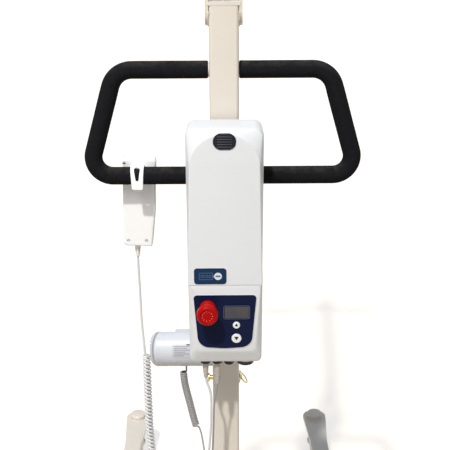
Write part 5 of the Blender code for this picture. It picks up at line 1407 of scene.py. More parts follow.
def plug(name, x, tail):
    """A cable plug whose nose sits in its socket's bore; the tail tapers down to the cable."""
    top = UNIT_BOTTOM - SEAT - 0.004
    mesh = turned([(PLUG_R - 0.0006, top), (PLUG_R, top - 0.0006), *tail], "z", (x, SOCKET_Y, 0), 40)
    piece(name + "_body", mesh, "plug_grey", "frame", [name])


def handset_outline(inset):
    """The handset from behind, in X and Z: flared top, one tapered side and one cut low corner."""
    top, low = HANDSET_TOP - inset, HANDSET_BOTTOM + inset
    half = HANDSET_HALF - inset
    flared = half + HANDSET_FLARE
    corners = (
        (-half, low + 0.0035), (-half + 0.007, low), (half - HANDSET_TAPER, low), (half, low + 0.070),
        (half, top - 0.038), (flared, top), (-flared, top), (-half, top - 0.038),
    )
    return filleted(corners, (0.002, 0.002, 0.003, 0.060, 0.040, 0.005, 0.005, 0.040), steps=8)


def build_handset(scene):
    sizes = scene.lift_sizes
    lean = handset_lean()
    edge = 0.0032
    low = HANDSET_BOTTOM - SEAT
    keys = ((HANDSET_TOP - 0.050, "up", "handset_up"), (HANDSET_TOP - 0.085, "down", "handset_down"))
    screws = ((-0.0268, 1.1083), (-0.0198, 0.9585), (0.0138, 0.9592))
    halves = (
        ("back", HANDSET_BACK_Y, HANDSET_SPLIT_Y - SEAT / 2, 1),
        ("front", HANDSET_FRONT_Y, HANDSET_SPLIT_Y + SEAT / 2, -1),
    )
    for word, face, split, inward in halves:
        sections = [(split, 0.0004), (split - inward * 0.0005, 0.0)]
        sections += [(face + inward * edge * s, edge * c) for c, s in quarter(6)]
        shape = skinned([laid(handset_outline(inset), "y", y) for y, inset in sections])
        if word == "front":
            pockets = [
                rod_shape(KEY_R + RUN, "y", face - KEY_DEPTH - 0.0015, face + 0.02, (0, 0, z))
                for z, _, _ in keys
            ]
        else:
            pockets = [rod_shape(0.0032, "y", face - 0.01, face + 0.0040, (x, 0, z), 32) for x, z in screws]
        shape = cut(shape, *pockets)
        name = "handset_" + word
        piece(name + "_shell", shape, "handset_white", "frame", [name], lean, ease=0.0002)
    heads = []
    for x, z in screws:
        y = HANDSET_BACK_Y + 0.0009
        profile = [(0.0029, y + 0.0028), (0.0029, y + 0.0003), (0.0025, y), (0.0003, y - 0.0001)]
        head = turned(profile, "y", (x, 0, z), 24)
        slots = [
            block((x - a, y - 0.001, z - b), (x + a, y + 0.0008, z + b))
            for a, b in ((0.0014, 0.0003), (0.0003, 0.0014))
        ]
        heads.append(cut(head, *slots))
    piece("handset_screws", together(*heads), "steel_bright", "frame", at=lean)

    for z, word, body in keys:
        profile = [(KEY_R, -KEY_DEPTH), (KEY_R, KEY_STAND - 0.0008)]
        profile += [
            (KEY_R - 0.0003, KEY_STAND - 0.0003), (KEY_R - 0.0010, KEY_STAND), (0.0040, KEY_STAND - 0.0004)
        ]
        at = lean @ shift(0, HANDSET_FRONT_Y, z)
        name = "handset_" + word + "_key"
        piece(name + "_cap", turned(profile, "y"), "plug_grey", body, [name], at)
        point = 0.0030 if word == "up" else -0.0030
        corners = ((-0.0032, -0.6 * point), (0.0032, -0.6 * point), (0, point))
        arrow = prism(filleted(corners, [0.0003] * 3, 3), "y", KEY_STAND - 0.0006, KEY_STAND - 0.00015)
        piece("handset_" + word + "_arrow", arrow, "print_black", body, at=at)

    piece("handset_hook_tongue", hook_tongue(), "handset_white", "frame", ["handset_hook"], lean)
    piece(
        "handset_relief", strain_relief(low, sizes.relief_rows), "relief_white", "frame",
        ["handset_strain_relief"], lean,
    )


def hook_tongue():
    """The flat tongue that comes up behind the bar, over it and down in front, with its teardrop hole."""
    reach = FOAM_LOW_R + 2 * SEAT + HOOK_STRIP_T / 2
    behind, over, front = 0.014, math.pi * reach, HANDLE_LOW_Z - HOOK_TIP_Z
    total = behind + over + front
    count = 72
    corner = HOOK_CORNER
    rings = []
    for i in range(count + 1):
        walked = total * i / count
        share = max(0.0, min(1.0, (walked - behind - over * 0.5) / (total - behind - over * 0.5)))
        half = (HOOK_W + (HOOK_TIP_W - HOOK_W) * share) / 2
        left = total - walked
        if left < corner:
            half -= corner - math.sqrt(corner**2 - (corner - left) ** 2)
        section = rounded(2 * half, HOOK_STRIP_T, 0.0011, steps=4)
        rings.append([Vector((p.x, p.y, walked)) for p in section])
    drop = strap((0, behind + over * 0.74), 0.0056, (0, behind + over + 0.0030), 0.0026, 20)
    flat = cut(skinned(rings), prism(drop, "y", -0.01, 0.01))
    back = HANDSET_BACK_Y - SEAT - HOOK_STRIP_T / 2
    for vertex in flat.vertices:
        x, out, walked = vertex.co
        if walked <= behind:
            y, z, normal = back, HANDLE_LOW_Z - behind + walked, (1.0, 0.0)
        elif walked <= behind + over:
            turn = math.pi * (walked - behind) / over
            radius = back + (reach - back) * min(1.0, 2 * turn / math.pi)
            y, z = radius * math.cos(turn), HANDLE_LOW_Z + radius * math.sin(turn)
            normal = (math.cos(turn), math.sin(turn))
        else:
            down = walked - behind - over
            y, z, normal = -reach - 0.0012 * down / front, HANDLE_LOW_Z - down, (-1.0, 0.0)
        sway = HOOK_SWAY * max(0.0, walked / total - 0.5)
        vertex.co = (x + HOOK_X + 2 * sway, y + normal[0] * out, z + normal[1] * out)
    shape = bmesh.new()
    shape.from_mesh(flat)
    bmesh.ops.recalc_face_normals(shape, faces=shape.faces)
    shape.to_mesh(flat)
    shape.free()
    return flat


def strain_relief(low, rows):
    """The tapered sleeve round the cord where it leaves the handset, with rows of slots."""
    profile = [(RELIEF_R - 0.0004, low), (RELIEF_R, low - 0.0006)]
    for i in range(12):
        share = (i + 1) / 12
        profile.append(
            (RELIEF_R - (RELIEF_R - RELIEF_TIP_R) * share, low - 0.0006 - (RELIEF_L - 0.0012) * share)
        )
    profile.append((RELIEF_TIP_R - 0.0005, low - RELIEF_L))
    sleeve = turned(profile, "z", (RELIEF_X, HANDSET_SPLIT_Y, 0), 48)
    slots = []
    for i in range(rows):
        z = low - 0.0078 - i * 0.0047
        for k in range(4):
            turn = math.pi / 2 * (k + 0.5)
            slot = rounded(0.0052, 0.0019, 0.0008, steps=4)
            tool = prism(slot, "y", -0.012, -0.0032 + i * 0.0004)
            tool.transform(shift(RELIEF_X, HANDSET_SPLIT_Y, z) @ Matrix.Rotation(turn, 4, "Z"))
            slots.append(tool)
    return cut(sleeve, *slots)


def actuator_frame():
    """The actuator's own axes: its foot on the clevis pin, its Z along the tube at rest."""
    _, lean = clevis_to_lug()
    return shift(0, CLEVIS_Y, CLEVIS_Z) @ Matrix.Rotation(-lean, 4, "X")


def build_actuator(scene):
    length, _ = clevis_to_lug()
    at = actuator_frame()
    left, right = -0.1565, 0.027
    dome = [(0.002, left), (0.008, left + 0.0002)]
    dome += [(0.008 + (MOTOR_R - 0.008) * (1 - s) ** 0.8, left + 0.018 * c) for c, s in quarter(12)[1:]]
    x = -0.0405
    seams = [(MOTOR_R, x - 0.0008), (MOTOR_R - 0.0007, x - 0.0003), (MOTOR_R - 0.0007, x + 0.0003)]
    seams.append((MOTOR_R, x + 0.0008))
    tail = [(MOTOR_R, right - 0.006), (MOTOR_R - 0.0012, right - 0.0026), (MOTOR_R - 0.0035, right - 0.0006)]
    profile = [*dome, *seams, *tail, (MOTOR_R - 0.005, right), (MOTOR_R - 0.012, right - 0.0008)]
    tall = shift(0, 0, MOTOR_RISE - MOTOR_SAG) @ Matrix.Diagonal((1, 1, MOTOR_TALL, 1))
    motor = moved(turned(profile, "x", sides=96), tall)
    eye = rod_shape(0.011, "x", -0.013, 0.013, sides=48)
    neck = prism(strap((0, 0), 0.008, (0, MOTOR_RISE), 0.020, 20), "x", -0.012, 0.012)
    top = MOTOR_RISE + MOTOR_R + 0.001
    gear = turned(
        [
            (0.024, MOTOR_RISE), (0.030, MOTOR_RISE + 0.006), (0.030, top - 0.005), (0.0285, top - 0.0015),
            (0.025, top),
        ], "z", sides=64,
    )
    hole = rod_shape(0.0055, "x", -0.1, 0.1, sides=32)
    shape = cut(joined(motor, eye, neck, gear), hole)
    # Shell and cover take the motor's white with its painted shade.
    piece("motor_shell", shape, "motor_white", "actuator", ["motor_housing"], at, ease=0.0004)
    cover = prism(
        rounded(0.0445, 0.0300, 0.0050, (-0.08225, 0.005), 8), "z", MOTOR_RISE + 0.010, top + 0.0006
    )
    piece("motor_cover", cover, "motor_white", "actuator", at=at, ease=0.0012)
    ends, edges = (-0.1085, -0.048), (-35.0, 12.0)
    plate = bent_plate(*ends, MOTOR_R + 0.0001, *[math.radians(edge) for edge in edges])
    piece("motor_label", plate, "label_silver", "actuator", at=at @ tall, sharp=60)
    rows = []
    for i, share in enumerate((0.62, 0.50, 0.70, 0.44, 0.58, 0.36)):
        low = math.radians(-27.0 + 6.2 * i)
        rows.append(
            bent_plate(-0.1050, -0.1050 + 0.054 * share, MOTOR_R + 0.0001, low, low + 0.032, 0.0004, 2)
        )
    piece("motor_label_rows", together(*rows), "print_grey", "actuator", at=at @ tall, sharp=60)
    bar = bent_plate(-0.0800, -0.0708, MOTOR_R + 0.0001, math.radians(-33), math.radians(-29), 0.0004, 2)
    piece("motor_label_bar", bar, "label_navy", "actuator", at=at @ tall, sharp=60)
    screws = []
    for turn in (45, 135, 225, 315):
        y = 0.020 * math.cos(math.radians(turn))
        z = MOTOR_RISE + 0.020 * math.sin(math.radians(turn))
        screws.append((left + 0.0016, y, z))
    head = turned(
        [(0.0024, 0.003), (0.0024, -0.0002), (0.0018, -0.0008), (0.0009, -0.0008), (0.0008, 0.0001)], "x",
        sides=16,
    )
    spots = on_points(screws, head, finish("steel_bright"))
    piece("motor_screws", spots, "steel_bright", "actuator", at=at)
    low = MOTOR_RISE - GLAND_LOW
    gland = [(0.0036, low), (0.0045, low + 0.0008), (0.0045, low + 0.0022), (0.0039, low + 0.0026)]
    gland += [(0.0039, low + 0.0030), (0.0055, low + 0.0034), (0.0055, MOTOR_RISE - 0.004)]
    sleeve = turned(gland, "z", (-CABLE_EXIT, 0, 0), 32)
    piece("motor_gland", sleeve, "plug_grey", "actuator", at=at)

    tube_r, tube_top = 0.0225, 0.600
    bore = 0.0130
    start = top + SEAT
    foot = length - ROD_OUT - 0.235
    profile = [
        (0.004, start), (tube_r + 0.0012, start), (tube_r + 0.0012, start + 0.010), (tube_r, start + 0.0112)
    ]
    profile += [
        (tube_r, tube_top - 0.0225), (tube_r + 0.0013, tube_top - 0.0215),
        (tube_r + 0.0015, tube_top - 0.020),
    ]
    profile += [
        (tube_r + 0.0015, tube_top - 0.004), (tube_r + 0.0008, tube_top - 0.0015),
        (tube_r - 0.002, tube_top),
    ]
    profile += [(bore + 0.001, tube_top), (bore, tube_top - 0.001), (bore, foot), (0.004, foot)]
    tube = turned(profile, "z", sides=64)
    piece("actuator_sleeve", tube, "steel_bright", "actuator", ["actuator_tube"], at)

    rod_r, neck_r = 0.0125, 0.0105
    rod = turned(
        [
            (rod_r - 0.001, length - ROD_OUT), (rod_r, length - ROD_OUT + 0.001), (rod_r, length - 0.028),
            (neck_r, length - 0.020), (neck_r, length - 0.008),
        ], "z",
    )
    eye = rod_shape(0.0155, "x", -0.014, 0.014, (0, 0, length))
    hole = rod_shape(0.0065, "x", -0.1, 0.1, (0, 0, length), 32)
    shape = cut(joined(rod, eye), hole)
    piece("actuator_piston", shape, "steel_bright", "rod", ["actuator_rod"], at, ease=0.0006)
    build_clevis()


def bent_plate(start, end, radius, low, high, thickness=0.0003, steps=16):
    """A thin plate wrapped on a round housing that lies along X, between two angles from level front."""
    rings = []
    for i in range(steps + 1):
        turn = low + (high - low) * i / steps
        ring = []
        for x, out in ((start, -0.001), (end, -0.001), (end, thickness), (start, thickness)):
            reach = radius + out
            ring.append(Vector((x, -reach * math.cos(turn), -reach * math.sin(turn))))
        rings.append(ring)
    return skinned(rings)


def build_clevis():
    """Bracket on the mast, golden clevis pin, and the linch pin with its sprung ring."""
    back = MAST_SIDE / 2 + SEAT
    wall = 0.005
    inner = 0.014
    plate = prism(rounded(0.048, 0.057, 0.006, (0, CLEVIS_Z - 0.0175), 8), "y", back, back + wall)
    ears = []
    for side in (-1, 1):
        low, high = sorted((side * inner, side * (inner + wall)))
        outline = strap((back + 0.022, CLEVIS_Z - 0.012), 0.021, (CLEVIS_Y, CLEVIS_Z), 0.011, 16)
        ears.append(prism([Vector((max(p.x, back + 0.002), p.y)) for p in outline], "x", low, high))
    hole = rod_shape(0.0053, "x", -0.1, 0.1, (0, CLEVIS_Y, CLEVIS_Z), 32)
    shape = cut(joined(plate, *ears), hole)
    piece("actuator_foot_bracket", shape, "cream_paint", "frame", ["actuator_bracket"], ease=0.0006)

    at = shift(0, CLEVIS_Y, CLEVIS_Z)
    half, head_r, head_t, pin_r = 0.034, 0.0095, 0.004, 0.005
    profile = [
        (0.0006, -half - head_t + 0.0004), (head_r * 0.6, -half - head_t), (head_r - 0.0014, -half - head_t)
    ]
    profile += [
        (head_r - 0.0004, -half - head_t + 0.0005), (head_r, -half - head_t + 0.0014),
        (head_r, -half - 0.0005),
    ]
    profile += [(head_r - 0.0005, -half), (pin_r, -half), (pin_r, half - 0.0012), (pin_r - 0.0012, half)]
    pin = turned(profile, "x")
    linch_x = half - 0.006
    hole = rod_shape(0.0025, "z", -0.02, 0.02, (linch_x, 0, 0), 24)
    pin = cut(pin, hole)
    piece("clevis_bolt", pin, "zinc_yellow", "frame", ["clevis_pin"], at)

    seat = at @ shift(linch_x, 0, 0)
    low, high = pin_r + SEAT, pin_r + 0.009
    stem = turned([(0.0010, -0.013), (0.0022, -0.0108), (0.0022, 0.008)], "z", sides=32)
    cap = turned(
        [
            (0.0036, low), (0.0042, low + 0.0006), (0.0042, high - 0.0012), (0.0038, high - 0.0004),
            (0.0030, high),
        ], "z", sides=40,
    )
    piece("linch_pin_shank", joined(stem, cap), "zinc_yellow", "frame", ["linch_pin"], seat)
    ring_r, wire_r = 0.0130, 0.0014
    start = math.asin((0.0042 + SEAT) / (ring_r - wire_r))
    lean = spin(-38, "Y")
    path = []
    for i in range(65):
        turn = start + (math.tau - 2 * start) * i / 64
        path.append(lean @ Vector((0, -ring_r * math.sin(turn), -(ring_r - ring_r * math.cos(turn)))))
    wire = carried(stops_on(path, wire_r, 0.0004, 3), lean @ Vector((1, 0, 0)), circle(wire_r, 16))
    middle = shift(0, 0, (low + high - SEAT) / 2)
    piece("linch_pin_ring", wire, "zinc_yellow", "pin_ring", ["linch_ring"], seat @ middle)


def hex_head(radius, height, washer=0.0):
    """A bolt head with six faces on Z, its top chamfered, on its own washer if that is wanted."""
    rings = []
    for share, z in ((1.0, 0.0), (1.0, height * 0.82), (0.92, height)):
        rings.append([Vector((p.x * share, p.y * share, z + washer)) for p in circle(radius, 6)])
    head = skinned(rings)
    if not washer:
        return head
    disc = turned([(radius * 1.25, 0), (radius * 1.32, washer * 0.3), (radius * 1.28, washer)], "z", sides=40)
    return together(head, disc)


def build_mast(scene):
    post = square_tube(MAST_SIDE, MAST_SIDE, 0.006, 0.003, 0.003, "z", MAST_LOW.z, MAST_TOP)
    piece("mast_post", post, "cream_paint", "frame", ["mast"])

    beside = MAST_SIDE / 2 + SEAT
    cap = prism(
        rounded(2 * beside + 0.006, MAST_SIDE, 0.002, steps=4), "z", MAST_TOP + SEAT,
        MAST_TOP + SEAT + 0.006,
    )
    ears = [
        prism(strap((0, MAST_TOP - 0.010), 0.024, (0, PIVOT_Z), 0.028, 24), "x", *sorted(ends))
        for ends in ((-beside - 0.006, -beside), (beside, beside + 0.006))
    ]
    hole = rod_shape(0.0083, "x", -0.1, 0.1, (0, 0, PIVOT_Z))
    head = cut(joined(cap, *ears), hole)
    piece("mast_head_ears", head, "cream_paint", "frame", ["mast_head"], ease=0.0008)
    beads = []
    for side in (-1, 1):
        x = side * (beside + 0.0004)
        low = strap((0, MAST_TOP - 0.010), 0.0245, (0, PIVOT_Z), 0.028, 24)
        line = [Vector((x, p.x, p.y)) for p in low if p.y < MAST_TOP - 0.004]
        line.sort(key=lambda p: math.atan2(p.y, MAST_TOP - p.z))
        beads.append(weld(line, closed=False))
    piece("mast_head_weld", together(*beads), "cream_paint", "frame")

    reach = beside + 0.006 + SEAT
    pin = turned([(0.0080, -reach), (0.0080, reach - 0.0002)], "x")
    quarter = spin(90, "Y")
    bolt_head = moved(hex_head(0.0140, 0.0062), shift(-reach, 0, 0), quarter, spin(180, "X"))
    nut = moved(hex_head(0.0122, 0.0066), shift(reach, 0, 0), quarter)
    stub = moved(
        turned([(0.0080, 0), (0.0080, 0.0082), (0.0070, 0.0092)], "z", sides=32), shift(reach, 0, 0),
        quarter,
    )
    at = shift(0, 0, PIVOT_Z)
    bolt = together(pin, bolt_head, nut, stub)
    piece("boom_pivot_pin", bolt, "zinc_yellow", "frame", ["boom_pivot_bolt"], at, sharp=25)
    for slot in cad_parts["unit_bracket"].material_slots:
        slot.material = finish("cream_paint")


def build_boom(scene):
    at = shift(0, 0, PIVOT_Z) @ Matrix.Rotation(BOOM_RAISED, 4, "X")
    length, wide, high, wall, corner, tail = BOOM_REACH, 0.046, 0.060, 0.003, 0.007, 0.036
    tube_end = length - 0.052
    tube = square_tube(wide, high, corner, wall, corner - wall, "y", -tail, tube_end)
    hub = rod_shape(0.017, "x", -MAST_SIDE / 2 + SEAT, MAST_SIDE / 2 - SEAT)
    parts = [hub]
    lug_inner, lug_t = 0.015, 0.006
    fork_inner = 0.0135
    for side in (-1, 1):
        low, top = sorted((side * lug_inner, side * (lug_inner + lug_t)))
        lug = strap((LUG_AT, -high / 2 + 0.004), 0.034, (LUG_AT, -LUG_DROP), 0.018, 20)
        lug = [p if p.y < -high / 2 + 0.002 else Vector((p.x, -high / 2 + 0.002)) for p in lug]
        lug = [p for i, p in enumerate(lug) if (p - lug[i - 1]).length > 1e-5]
        parts.append(prism(lug, "x", low, top))
        low, top = sorted((side * fork_inner, side * (wide / 2 - wall + 0.001)))
        ear = strap((tube_end - 0.045, 0), 0.022, (length, 0), 0.0195, 20)
        parts.append(prism(ear, "x", low, top))
    bore = rod_shape(0.0085, "x", -0.1, 0.1)
    shape = cut(joined(tube, *parts), bore)
    piece("boom_arm", shape, "cream_paint", "lifting_boom", ["boom"], at, ease=0.0006)

    plug_shape = prism(
        rounded(wide - 2 * wall - 0.0004, high - 2 * wall - 0.0004, corner - wall, steps=6), "y", -tail,
        -tail + 0.012,
    )
    piece("boom_tail_plug", plug_shape, "plastic_black", "lifting_boom", at=at, ease=0.0005)
    quarter = spin(90, "Y")
    bolts = []
    for side in (-1, 1):
        face = lug_inner + lug_t
        turn = spin(0 if side > 0 else 180, "X")
        place = shift(side * face, LUG_AT, -LUG_DROP)
        flip = quarter if side > 0 else spin(-90, "Y")
        bolts.append(moved(hex_head(0.0090, 0.0055), place, flip, turn))
        tip = shift(side * (wide / 2 - 0.0025), length, 0)
        bolts.append(moved(turned([(0.006, 0), (0.006, 0.0035), (0.0052, 0.0043)], "z", sides=32), tip, flip))
    bolts.append(rod_shape(0.0058, "x", -face, face, (0, LUG_AT, -LUG_DROP), 32))
    bolts.append(rod_shape(0.0060, "x", -wide / 2 + 0.001, wide / 2 - 0.001, (0, length, 0), 32))
    piece("boom_bolts", together(*bolts), "zinc_yellow", "lifting_boom", at=at, sharp=25)
    beads = []
    for side in (-1, 1):
        x = side * (lug_inner + lug_t + 0.0004)
        ends = [Vector((x, LUG_AT + s * 0.033, -high / 2 - 0.0002)) for s in (-1, 1)]
        beads.append(weld([ends[0].lerp(ends[1], i / 12) for i in range(13)], closed=False))
    piece("boom_lug_weld", together(*beads), "cream_paint", "lifting_boom", at=at)


def build_spreader(scene):
    y, z = on_boom(BOOM_REACH, 0)
    at = shift(0, y, z)
    drop, radius = 0.150, 0.013
    eye = rod_shape(0.015, "x", -0.013, 0.013)
    end = -drop - 2 * radius - 0.012
    spindle = turned(
        [
            (0.0105, -0.006), (0.012, -0.016), (0.012, -drop + 0.012), (0.008, -drop + 0.008),
            (0.008, end + 0.004),
        ], "z",
    )
    bore = rod_shape(0.007, "x", -0.05, 0.05, sides=32)
    shape = cut(joined(eye, spindle), bore)
    piece("hanger_shank", shape, "steel_bright", "boom_hanger", ["hanger"], at, ease=0.0006)
    nut = moved(hex_head(0.0130, 0.0075), shift(0, 0, end))
    piece("hanger_nut", nut, "zinc_yellow", "boom_hanger", at=at, sharp=25)

    top = -drop - radius
    low = top - 0.050
    half = [
        Vector((0.060, 0, top)), Vector((BAR_HALF * 0.62, 0, low + 0.012)), Vector((0.212, 0, low)),
        Vector((BAR_HALF, 0, low + 0.016)), Vector((0.236, 0, low + 0.046)),
    ]
    whole = [Vector((-p.x, 0, p.z)) for p in reversed(half)] + half
    path = bent_path(whole, [0.011] * (len(whole) - 2), 8)
    bar = carried(stops_on(path, radius, 0.004, 4), (0, 1, 0), circle(radius, 40))
    hub = turned(
        [
            (0.019, -drop - 2 * radius - 0.002), (0.021, -drop - 2 * radius), (0.021, -drop + 0.002),
            (0.019, -drop + 0.004),
        ], "z",
    )
    parts = [hub]
    for side in (-1, 1):
        parts.append(prism(inner_hook_outline(side, top), "y", -0.004, 0.004))
    bore = rod_shape(0.0085, "z", -0.3, 0.1)
    shape = cut(joined(bar, *parts), bore)
    piece("spreader_arms", shape, "cream_paint", "spreader", ["spreader_bar"], at, ease=0.0005)
    beads = []
    for side in (-1, 1):
        slope = (low + 0.012 - top) / (BAR_HALF * 0.62 - 0.060)
        for y_side in (-1, 1):
            line = []
            for i in range(9):
                x = 0.118 + 0.012 * i / 8
                centre = top + slope * (x - 0.060)
                line.append(Vector((side * x, y_side * 0.0052, centre - math.sqrt(radius**2 - 0.0052**2))))
            beads.append(weld(line, closed=False, bead=0.0014))
    piece("spreader_hook_weld", together(*beads), "cream_paint", "spreader", at=at)
    for side, word in SIDES:
        root = Vector((side * 0.1688, low + 0.0257))
        tip = Vector((side * (BAR_HALF - radius - 0.008), low + 0.046 - 0.004))
        tongue = prism(strap(root, 0.004, tip, 0.0024, 12), "y", -0.005, 0.005)
        name = "hook_keeper_" + word
        piece(name + "_tongue", tongue, "plastic_black", word + "_keeper", [name], at, ease=0.0008)
        pin = soft_rod(0.0018, "y", -0.0056, 0.0056, 0.0006, (root.x, 0, root.y), 20, 3)
        piece(name + "_pin", pin, "steel_bright", "spreader", at=at)


def inner_hook_outline(side, bar_z):
    """A flat hook under the bar that opens outwards, drawn as a J in X and Z."""
    root = bar_z - 0.0195
    low = root - 0.078
    floor = low + 0.012
    lip = floor + 0.018
    points = [
        (0.118, root), (0.118, low), (0.164, low), (0.164, lip), (0.154, lip), (0.154, floor),
        (0.130, floor), (0.130, root),
    ]
    radii = [0.001, 0.020, 0.018, 0.0045, 0.0045, 0.010, 0.010, 0.001]
    return [Vector((side * p.x, p.y)) for p in filleted(points, radii, 10)]


WHEEL_R = 0.040
CASTER_TRAIL = 0.030
CASTER_TOP = 0.097
PEDAL_BACK = 0.047
PEDAL_Z = CASTER_TOP - 0.0085
BEAM_TOP = CASTER_TOP + SEAT + 0.008
LEG_X = 0.270
LEG_REACH = 0.780
REAR_REACH = 0.150
LEG_TOP = BEAM_TOP + SEAT + 0.002


def caster_boss(root, centre):
    """The raised boss over a caster's stem."""
    top = BEAM_TOP + 0.015
    profile = [(0.023, root - 0.002), (0.023, top - 0.004), (0.0205, top - 0.0012), (0.017, top)]
    return turned(profile, "z", centre)


def caster_seat(x, y):
    """The cutter for a caster's stem: a blind hole up into plate and boss."""
    return rod_shape(0.0065, "z", CASTER_TOP - 0.01, CASTER_TOP + 0.0195, (x, y, 0), 32)


def build_base(scene):
    middle = BEAM_TOP - 0.025
    beam = square_tube(0.080, 0.050, 0.008, 0.004, 0.004, "x", -0.300, 0.300, (0, middle))
    hole = MAST_SIDE + 2 * SEAT
    wide = hole + 0.010
    sleeve = square_tube(wide, wide, 0.009, 0.005, 0.0063, "z", BEAM_TOP - 0.002, BEAM_TOP + 0.150)
    parts, cutters = [sleeve], []
    for side in (-1, 1):
        x = side * LEG_X
        rear = strap((x, -REAR_REACH), 0.034, (x, -0.039), 0.030, 20)
        plate = prism(rear, "z", CASTER_TOP + SEAT, BEAM_TOP - 0.0005)
        parts.append(cut(plate, block((x - 0.1, -0.037, 0), (x + 0.1, 0.2, 0.3))))
        parts.append(caster_boss(BEAM_TOP, (x, -REAR_REACH, 0)))
        cutters.append(caster_seat(x, -REAR_REACH))
        parts.append(rod_shape(0.009, "z", BEAM_TOP - 0.002, BEAM_TOP + 0.010, (x, 0, 0), 40))
    pin_end = -0.070
    profile = [(0.015, -0.038), (0.015, pin_end), (0.008, pin_end), (0.008, pin_end - 0.0145)]
    parts.append(turned(profile, "y", (0, 0, middle)))
    shape = cut(joined(beam, *parts), *cutters)
    piece("base_cross_beam", shape, "cream_paint", "frame", ["base_beam"], ease=0.0006)

    heads, beads = [], []
    for side in (-1, 1):
        at = shift(side * LEG_X, 0, BEAM_TOP + SEAT + 0.0085)
        heads.append(moved(hex_head(0.0125, 0.0058, 0.0012), at))
        line = [Vector((side * LEG_X + s * 0.0295, -0.0405, BEAM_TOP - 0.0008)) for s in (-1, 1)]
        beads.append(weld([line[0].lerp(line[1], i / 20) for i in range(21)], closed=False))
    nut = moved(hex_head(0.0130, 0.0050), shift(0, -0.0845, middle), spin(90, "X"))
    piece("base_bolts", together(*heads, nut), "zinc_yellow", "frame", sharp=25)
    ring = [
        Vector((p.x, p.y, BEAM_TOP + 0.0003))
        for p in rounded(hole + 0.0112, hole + 0.0112, 0.0095, steps=6)
    ]
    beads.append(weld(ring, bead=0.0022))
    piece("base_weld", together(*beads), "cream_paint", "frame")
    for side, word in SIDES:
        cap = prism(rounded(0.0716, 0.0416, 0.0038, (0, middle)), "x", *sorted((side * 0.2995, side * 0.285)))
        piece("beam_end_plug_" + word, cap, "plastic_black", "frame", ease=0.0005)

    for side, word in SIDES:
        build_leg(word, side)
    build_spread_pedal(scene.lift_sizes)


def build_leg(word, side):
    """Pivot plate, square tube, front plate and caster boss of one leg, which turns on its bolt."""
    at = shift(side * LEG_X, 0, 0)
    middle = LEG_TOP - 0.018
    tube = square_tube(0.050, 0.036, 0.007, 0.003, 0.004, "y", 0.078, 0.705, (0, middle))
    low = BEAM_TOP + SEAT
    pivot_plate = prism(strap((0, 0), 0.030, (0, 0.188), 0.020, 20), "z", low, low + 0.008)
    front = strap((0, LEG_REACH), 0.034, (0, 0.655), 0.0245, 20)
    front_plate = prism(front, "z", CASTER_TOP + SEAT, LEG_TOP - 0.0015)
    boss = caster_boss(LEG_TOP - 0.002, (0, LEG_REACH, 0))
    hole = rod_shape(0.0095, "z", BEAM_TOP - 0.01, BEAM_TOP + 0.05)
    shape = cut(joined(tube, pivot_plate, front_plate, boss), hole, caster_seat(0, LEG_REACH))
    name, body = "leg_" + word, word + "_leg"
    piece(name + "_arm", shape, "cream_paint", body, [name], at, ease=0.0006)
    line = [
        Vector((s * x, y, LEG_TOP + 0.0004))
        for s, x, y in ((-1, 0.0205, 0.082), (-1, 0.0200, 0.188), (1, 0.0200, 0.188), (1, 0.0205, 0.082))
    ]
    path = bent_path(line, [0.019] * (len(line) - 2), 8)
    dense = [a.lerp(b, i / 10) for a, b in zip(path, path[1:]) for i in range(10)]
    piece(name + "_weld", weld(dense, closed=False), "cream_paint", body, at=at)
    for y, tip in ((0.0775, "rear"), (0.7045, "front")):
        start, end = (y, y + 0.012) if tip == "rear" else (y - 0.012, y)
        cap = prism(rounded(0.0436, 0.0296, 0.0038, (0, middle)), "y", start, end)
        piece(name + "_plug_" + tip, cap, "plastic_black", body, at=at, ease=0.0005)


def build_spread_pedal(sizes):
    """The rocking foot pedal that spreads the legs, tilted to its closed side at rest."""
    at = shift(0, -0.0705, BEAM_TOP - 0.025) @ spin(12, "Y")
    hub = turned([(0.0178, -0.014), (0.019, -0.0128), (0.019, -0.0012), (0.0178, 0.0)], "y")
    parts = [prism(rounded(0.220, 0.016, 0.0048), "y", -0.011, -0.003)]
    for side in (-1, 1):
        parts.append(prism(rounded(0.050, 0.040, 0.008, (side * 0.105, -0.016)), "z", 0.002, 0.010))
    shape = cut(joined(hub, *parts), rod_shape(0.0085, "y", -0.1, 0.1, sides=32))
    piece("spread_pedal_body", shape, "plastic_black", "leg_spread_pedal", ["spread_pedal"], at, ease=0.0009)
    ribs = []
    for side in (-1, 1):
        rib = soft_rod(0.0008, "y", -0.014, 0.014, 0.0008, sides=10, steps=2)
        row = grown(
            row_tree(), rib, count=sizes.pedal_ribs, step=(0.0046, 0.0, 0.0),
            material=finish("plastic_black"),
        )
        start = side * 0.105 - 0.0023 * (sizes.pedal_ribs - 1)
        ribs.append(moved(row, shift(start, -0.016, 0.0100)))
    piece("spread_pedal_ribs", together(*ribs), "plastic_black", "leg_spread_pedal", at=at)


def build_casters(scene):
    sizes = scene.lift_sizes
    for where, y, braked in (("rear", -REAR_REACH, True), ("front", LEG_REACH, False)):
        for side, word in SIDES:
            name = where + "_" + word
            at = shift(side * LEG_X, y, 0)
            build_fork(name, at, braked)
            build_wheel(name, at @ shift(0, -CASTER_TRAIL, WHEEL_R), sizes.hub_ribs)
            if braked:
                build_brake(name, at @ shift(0, -PEDAL_BACK, PEDAL_Z))


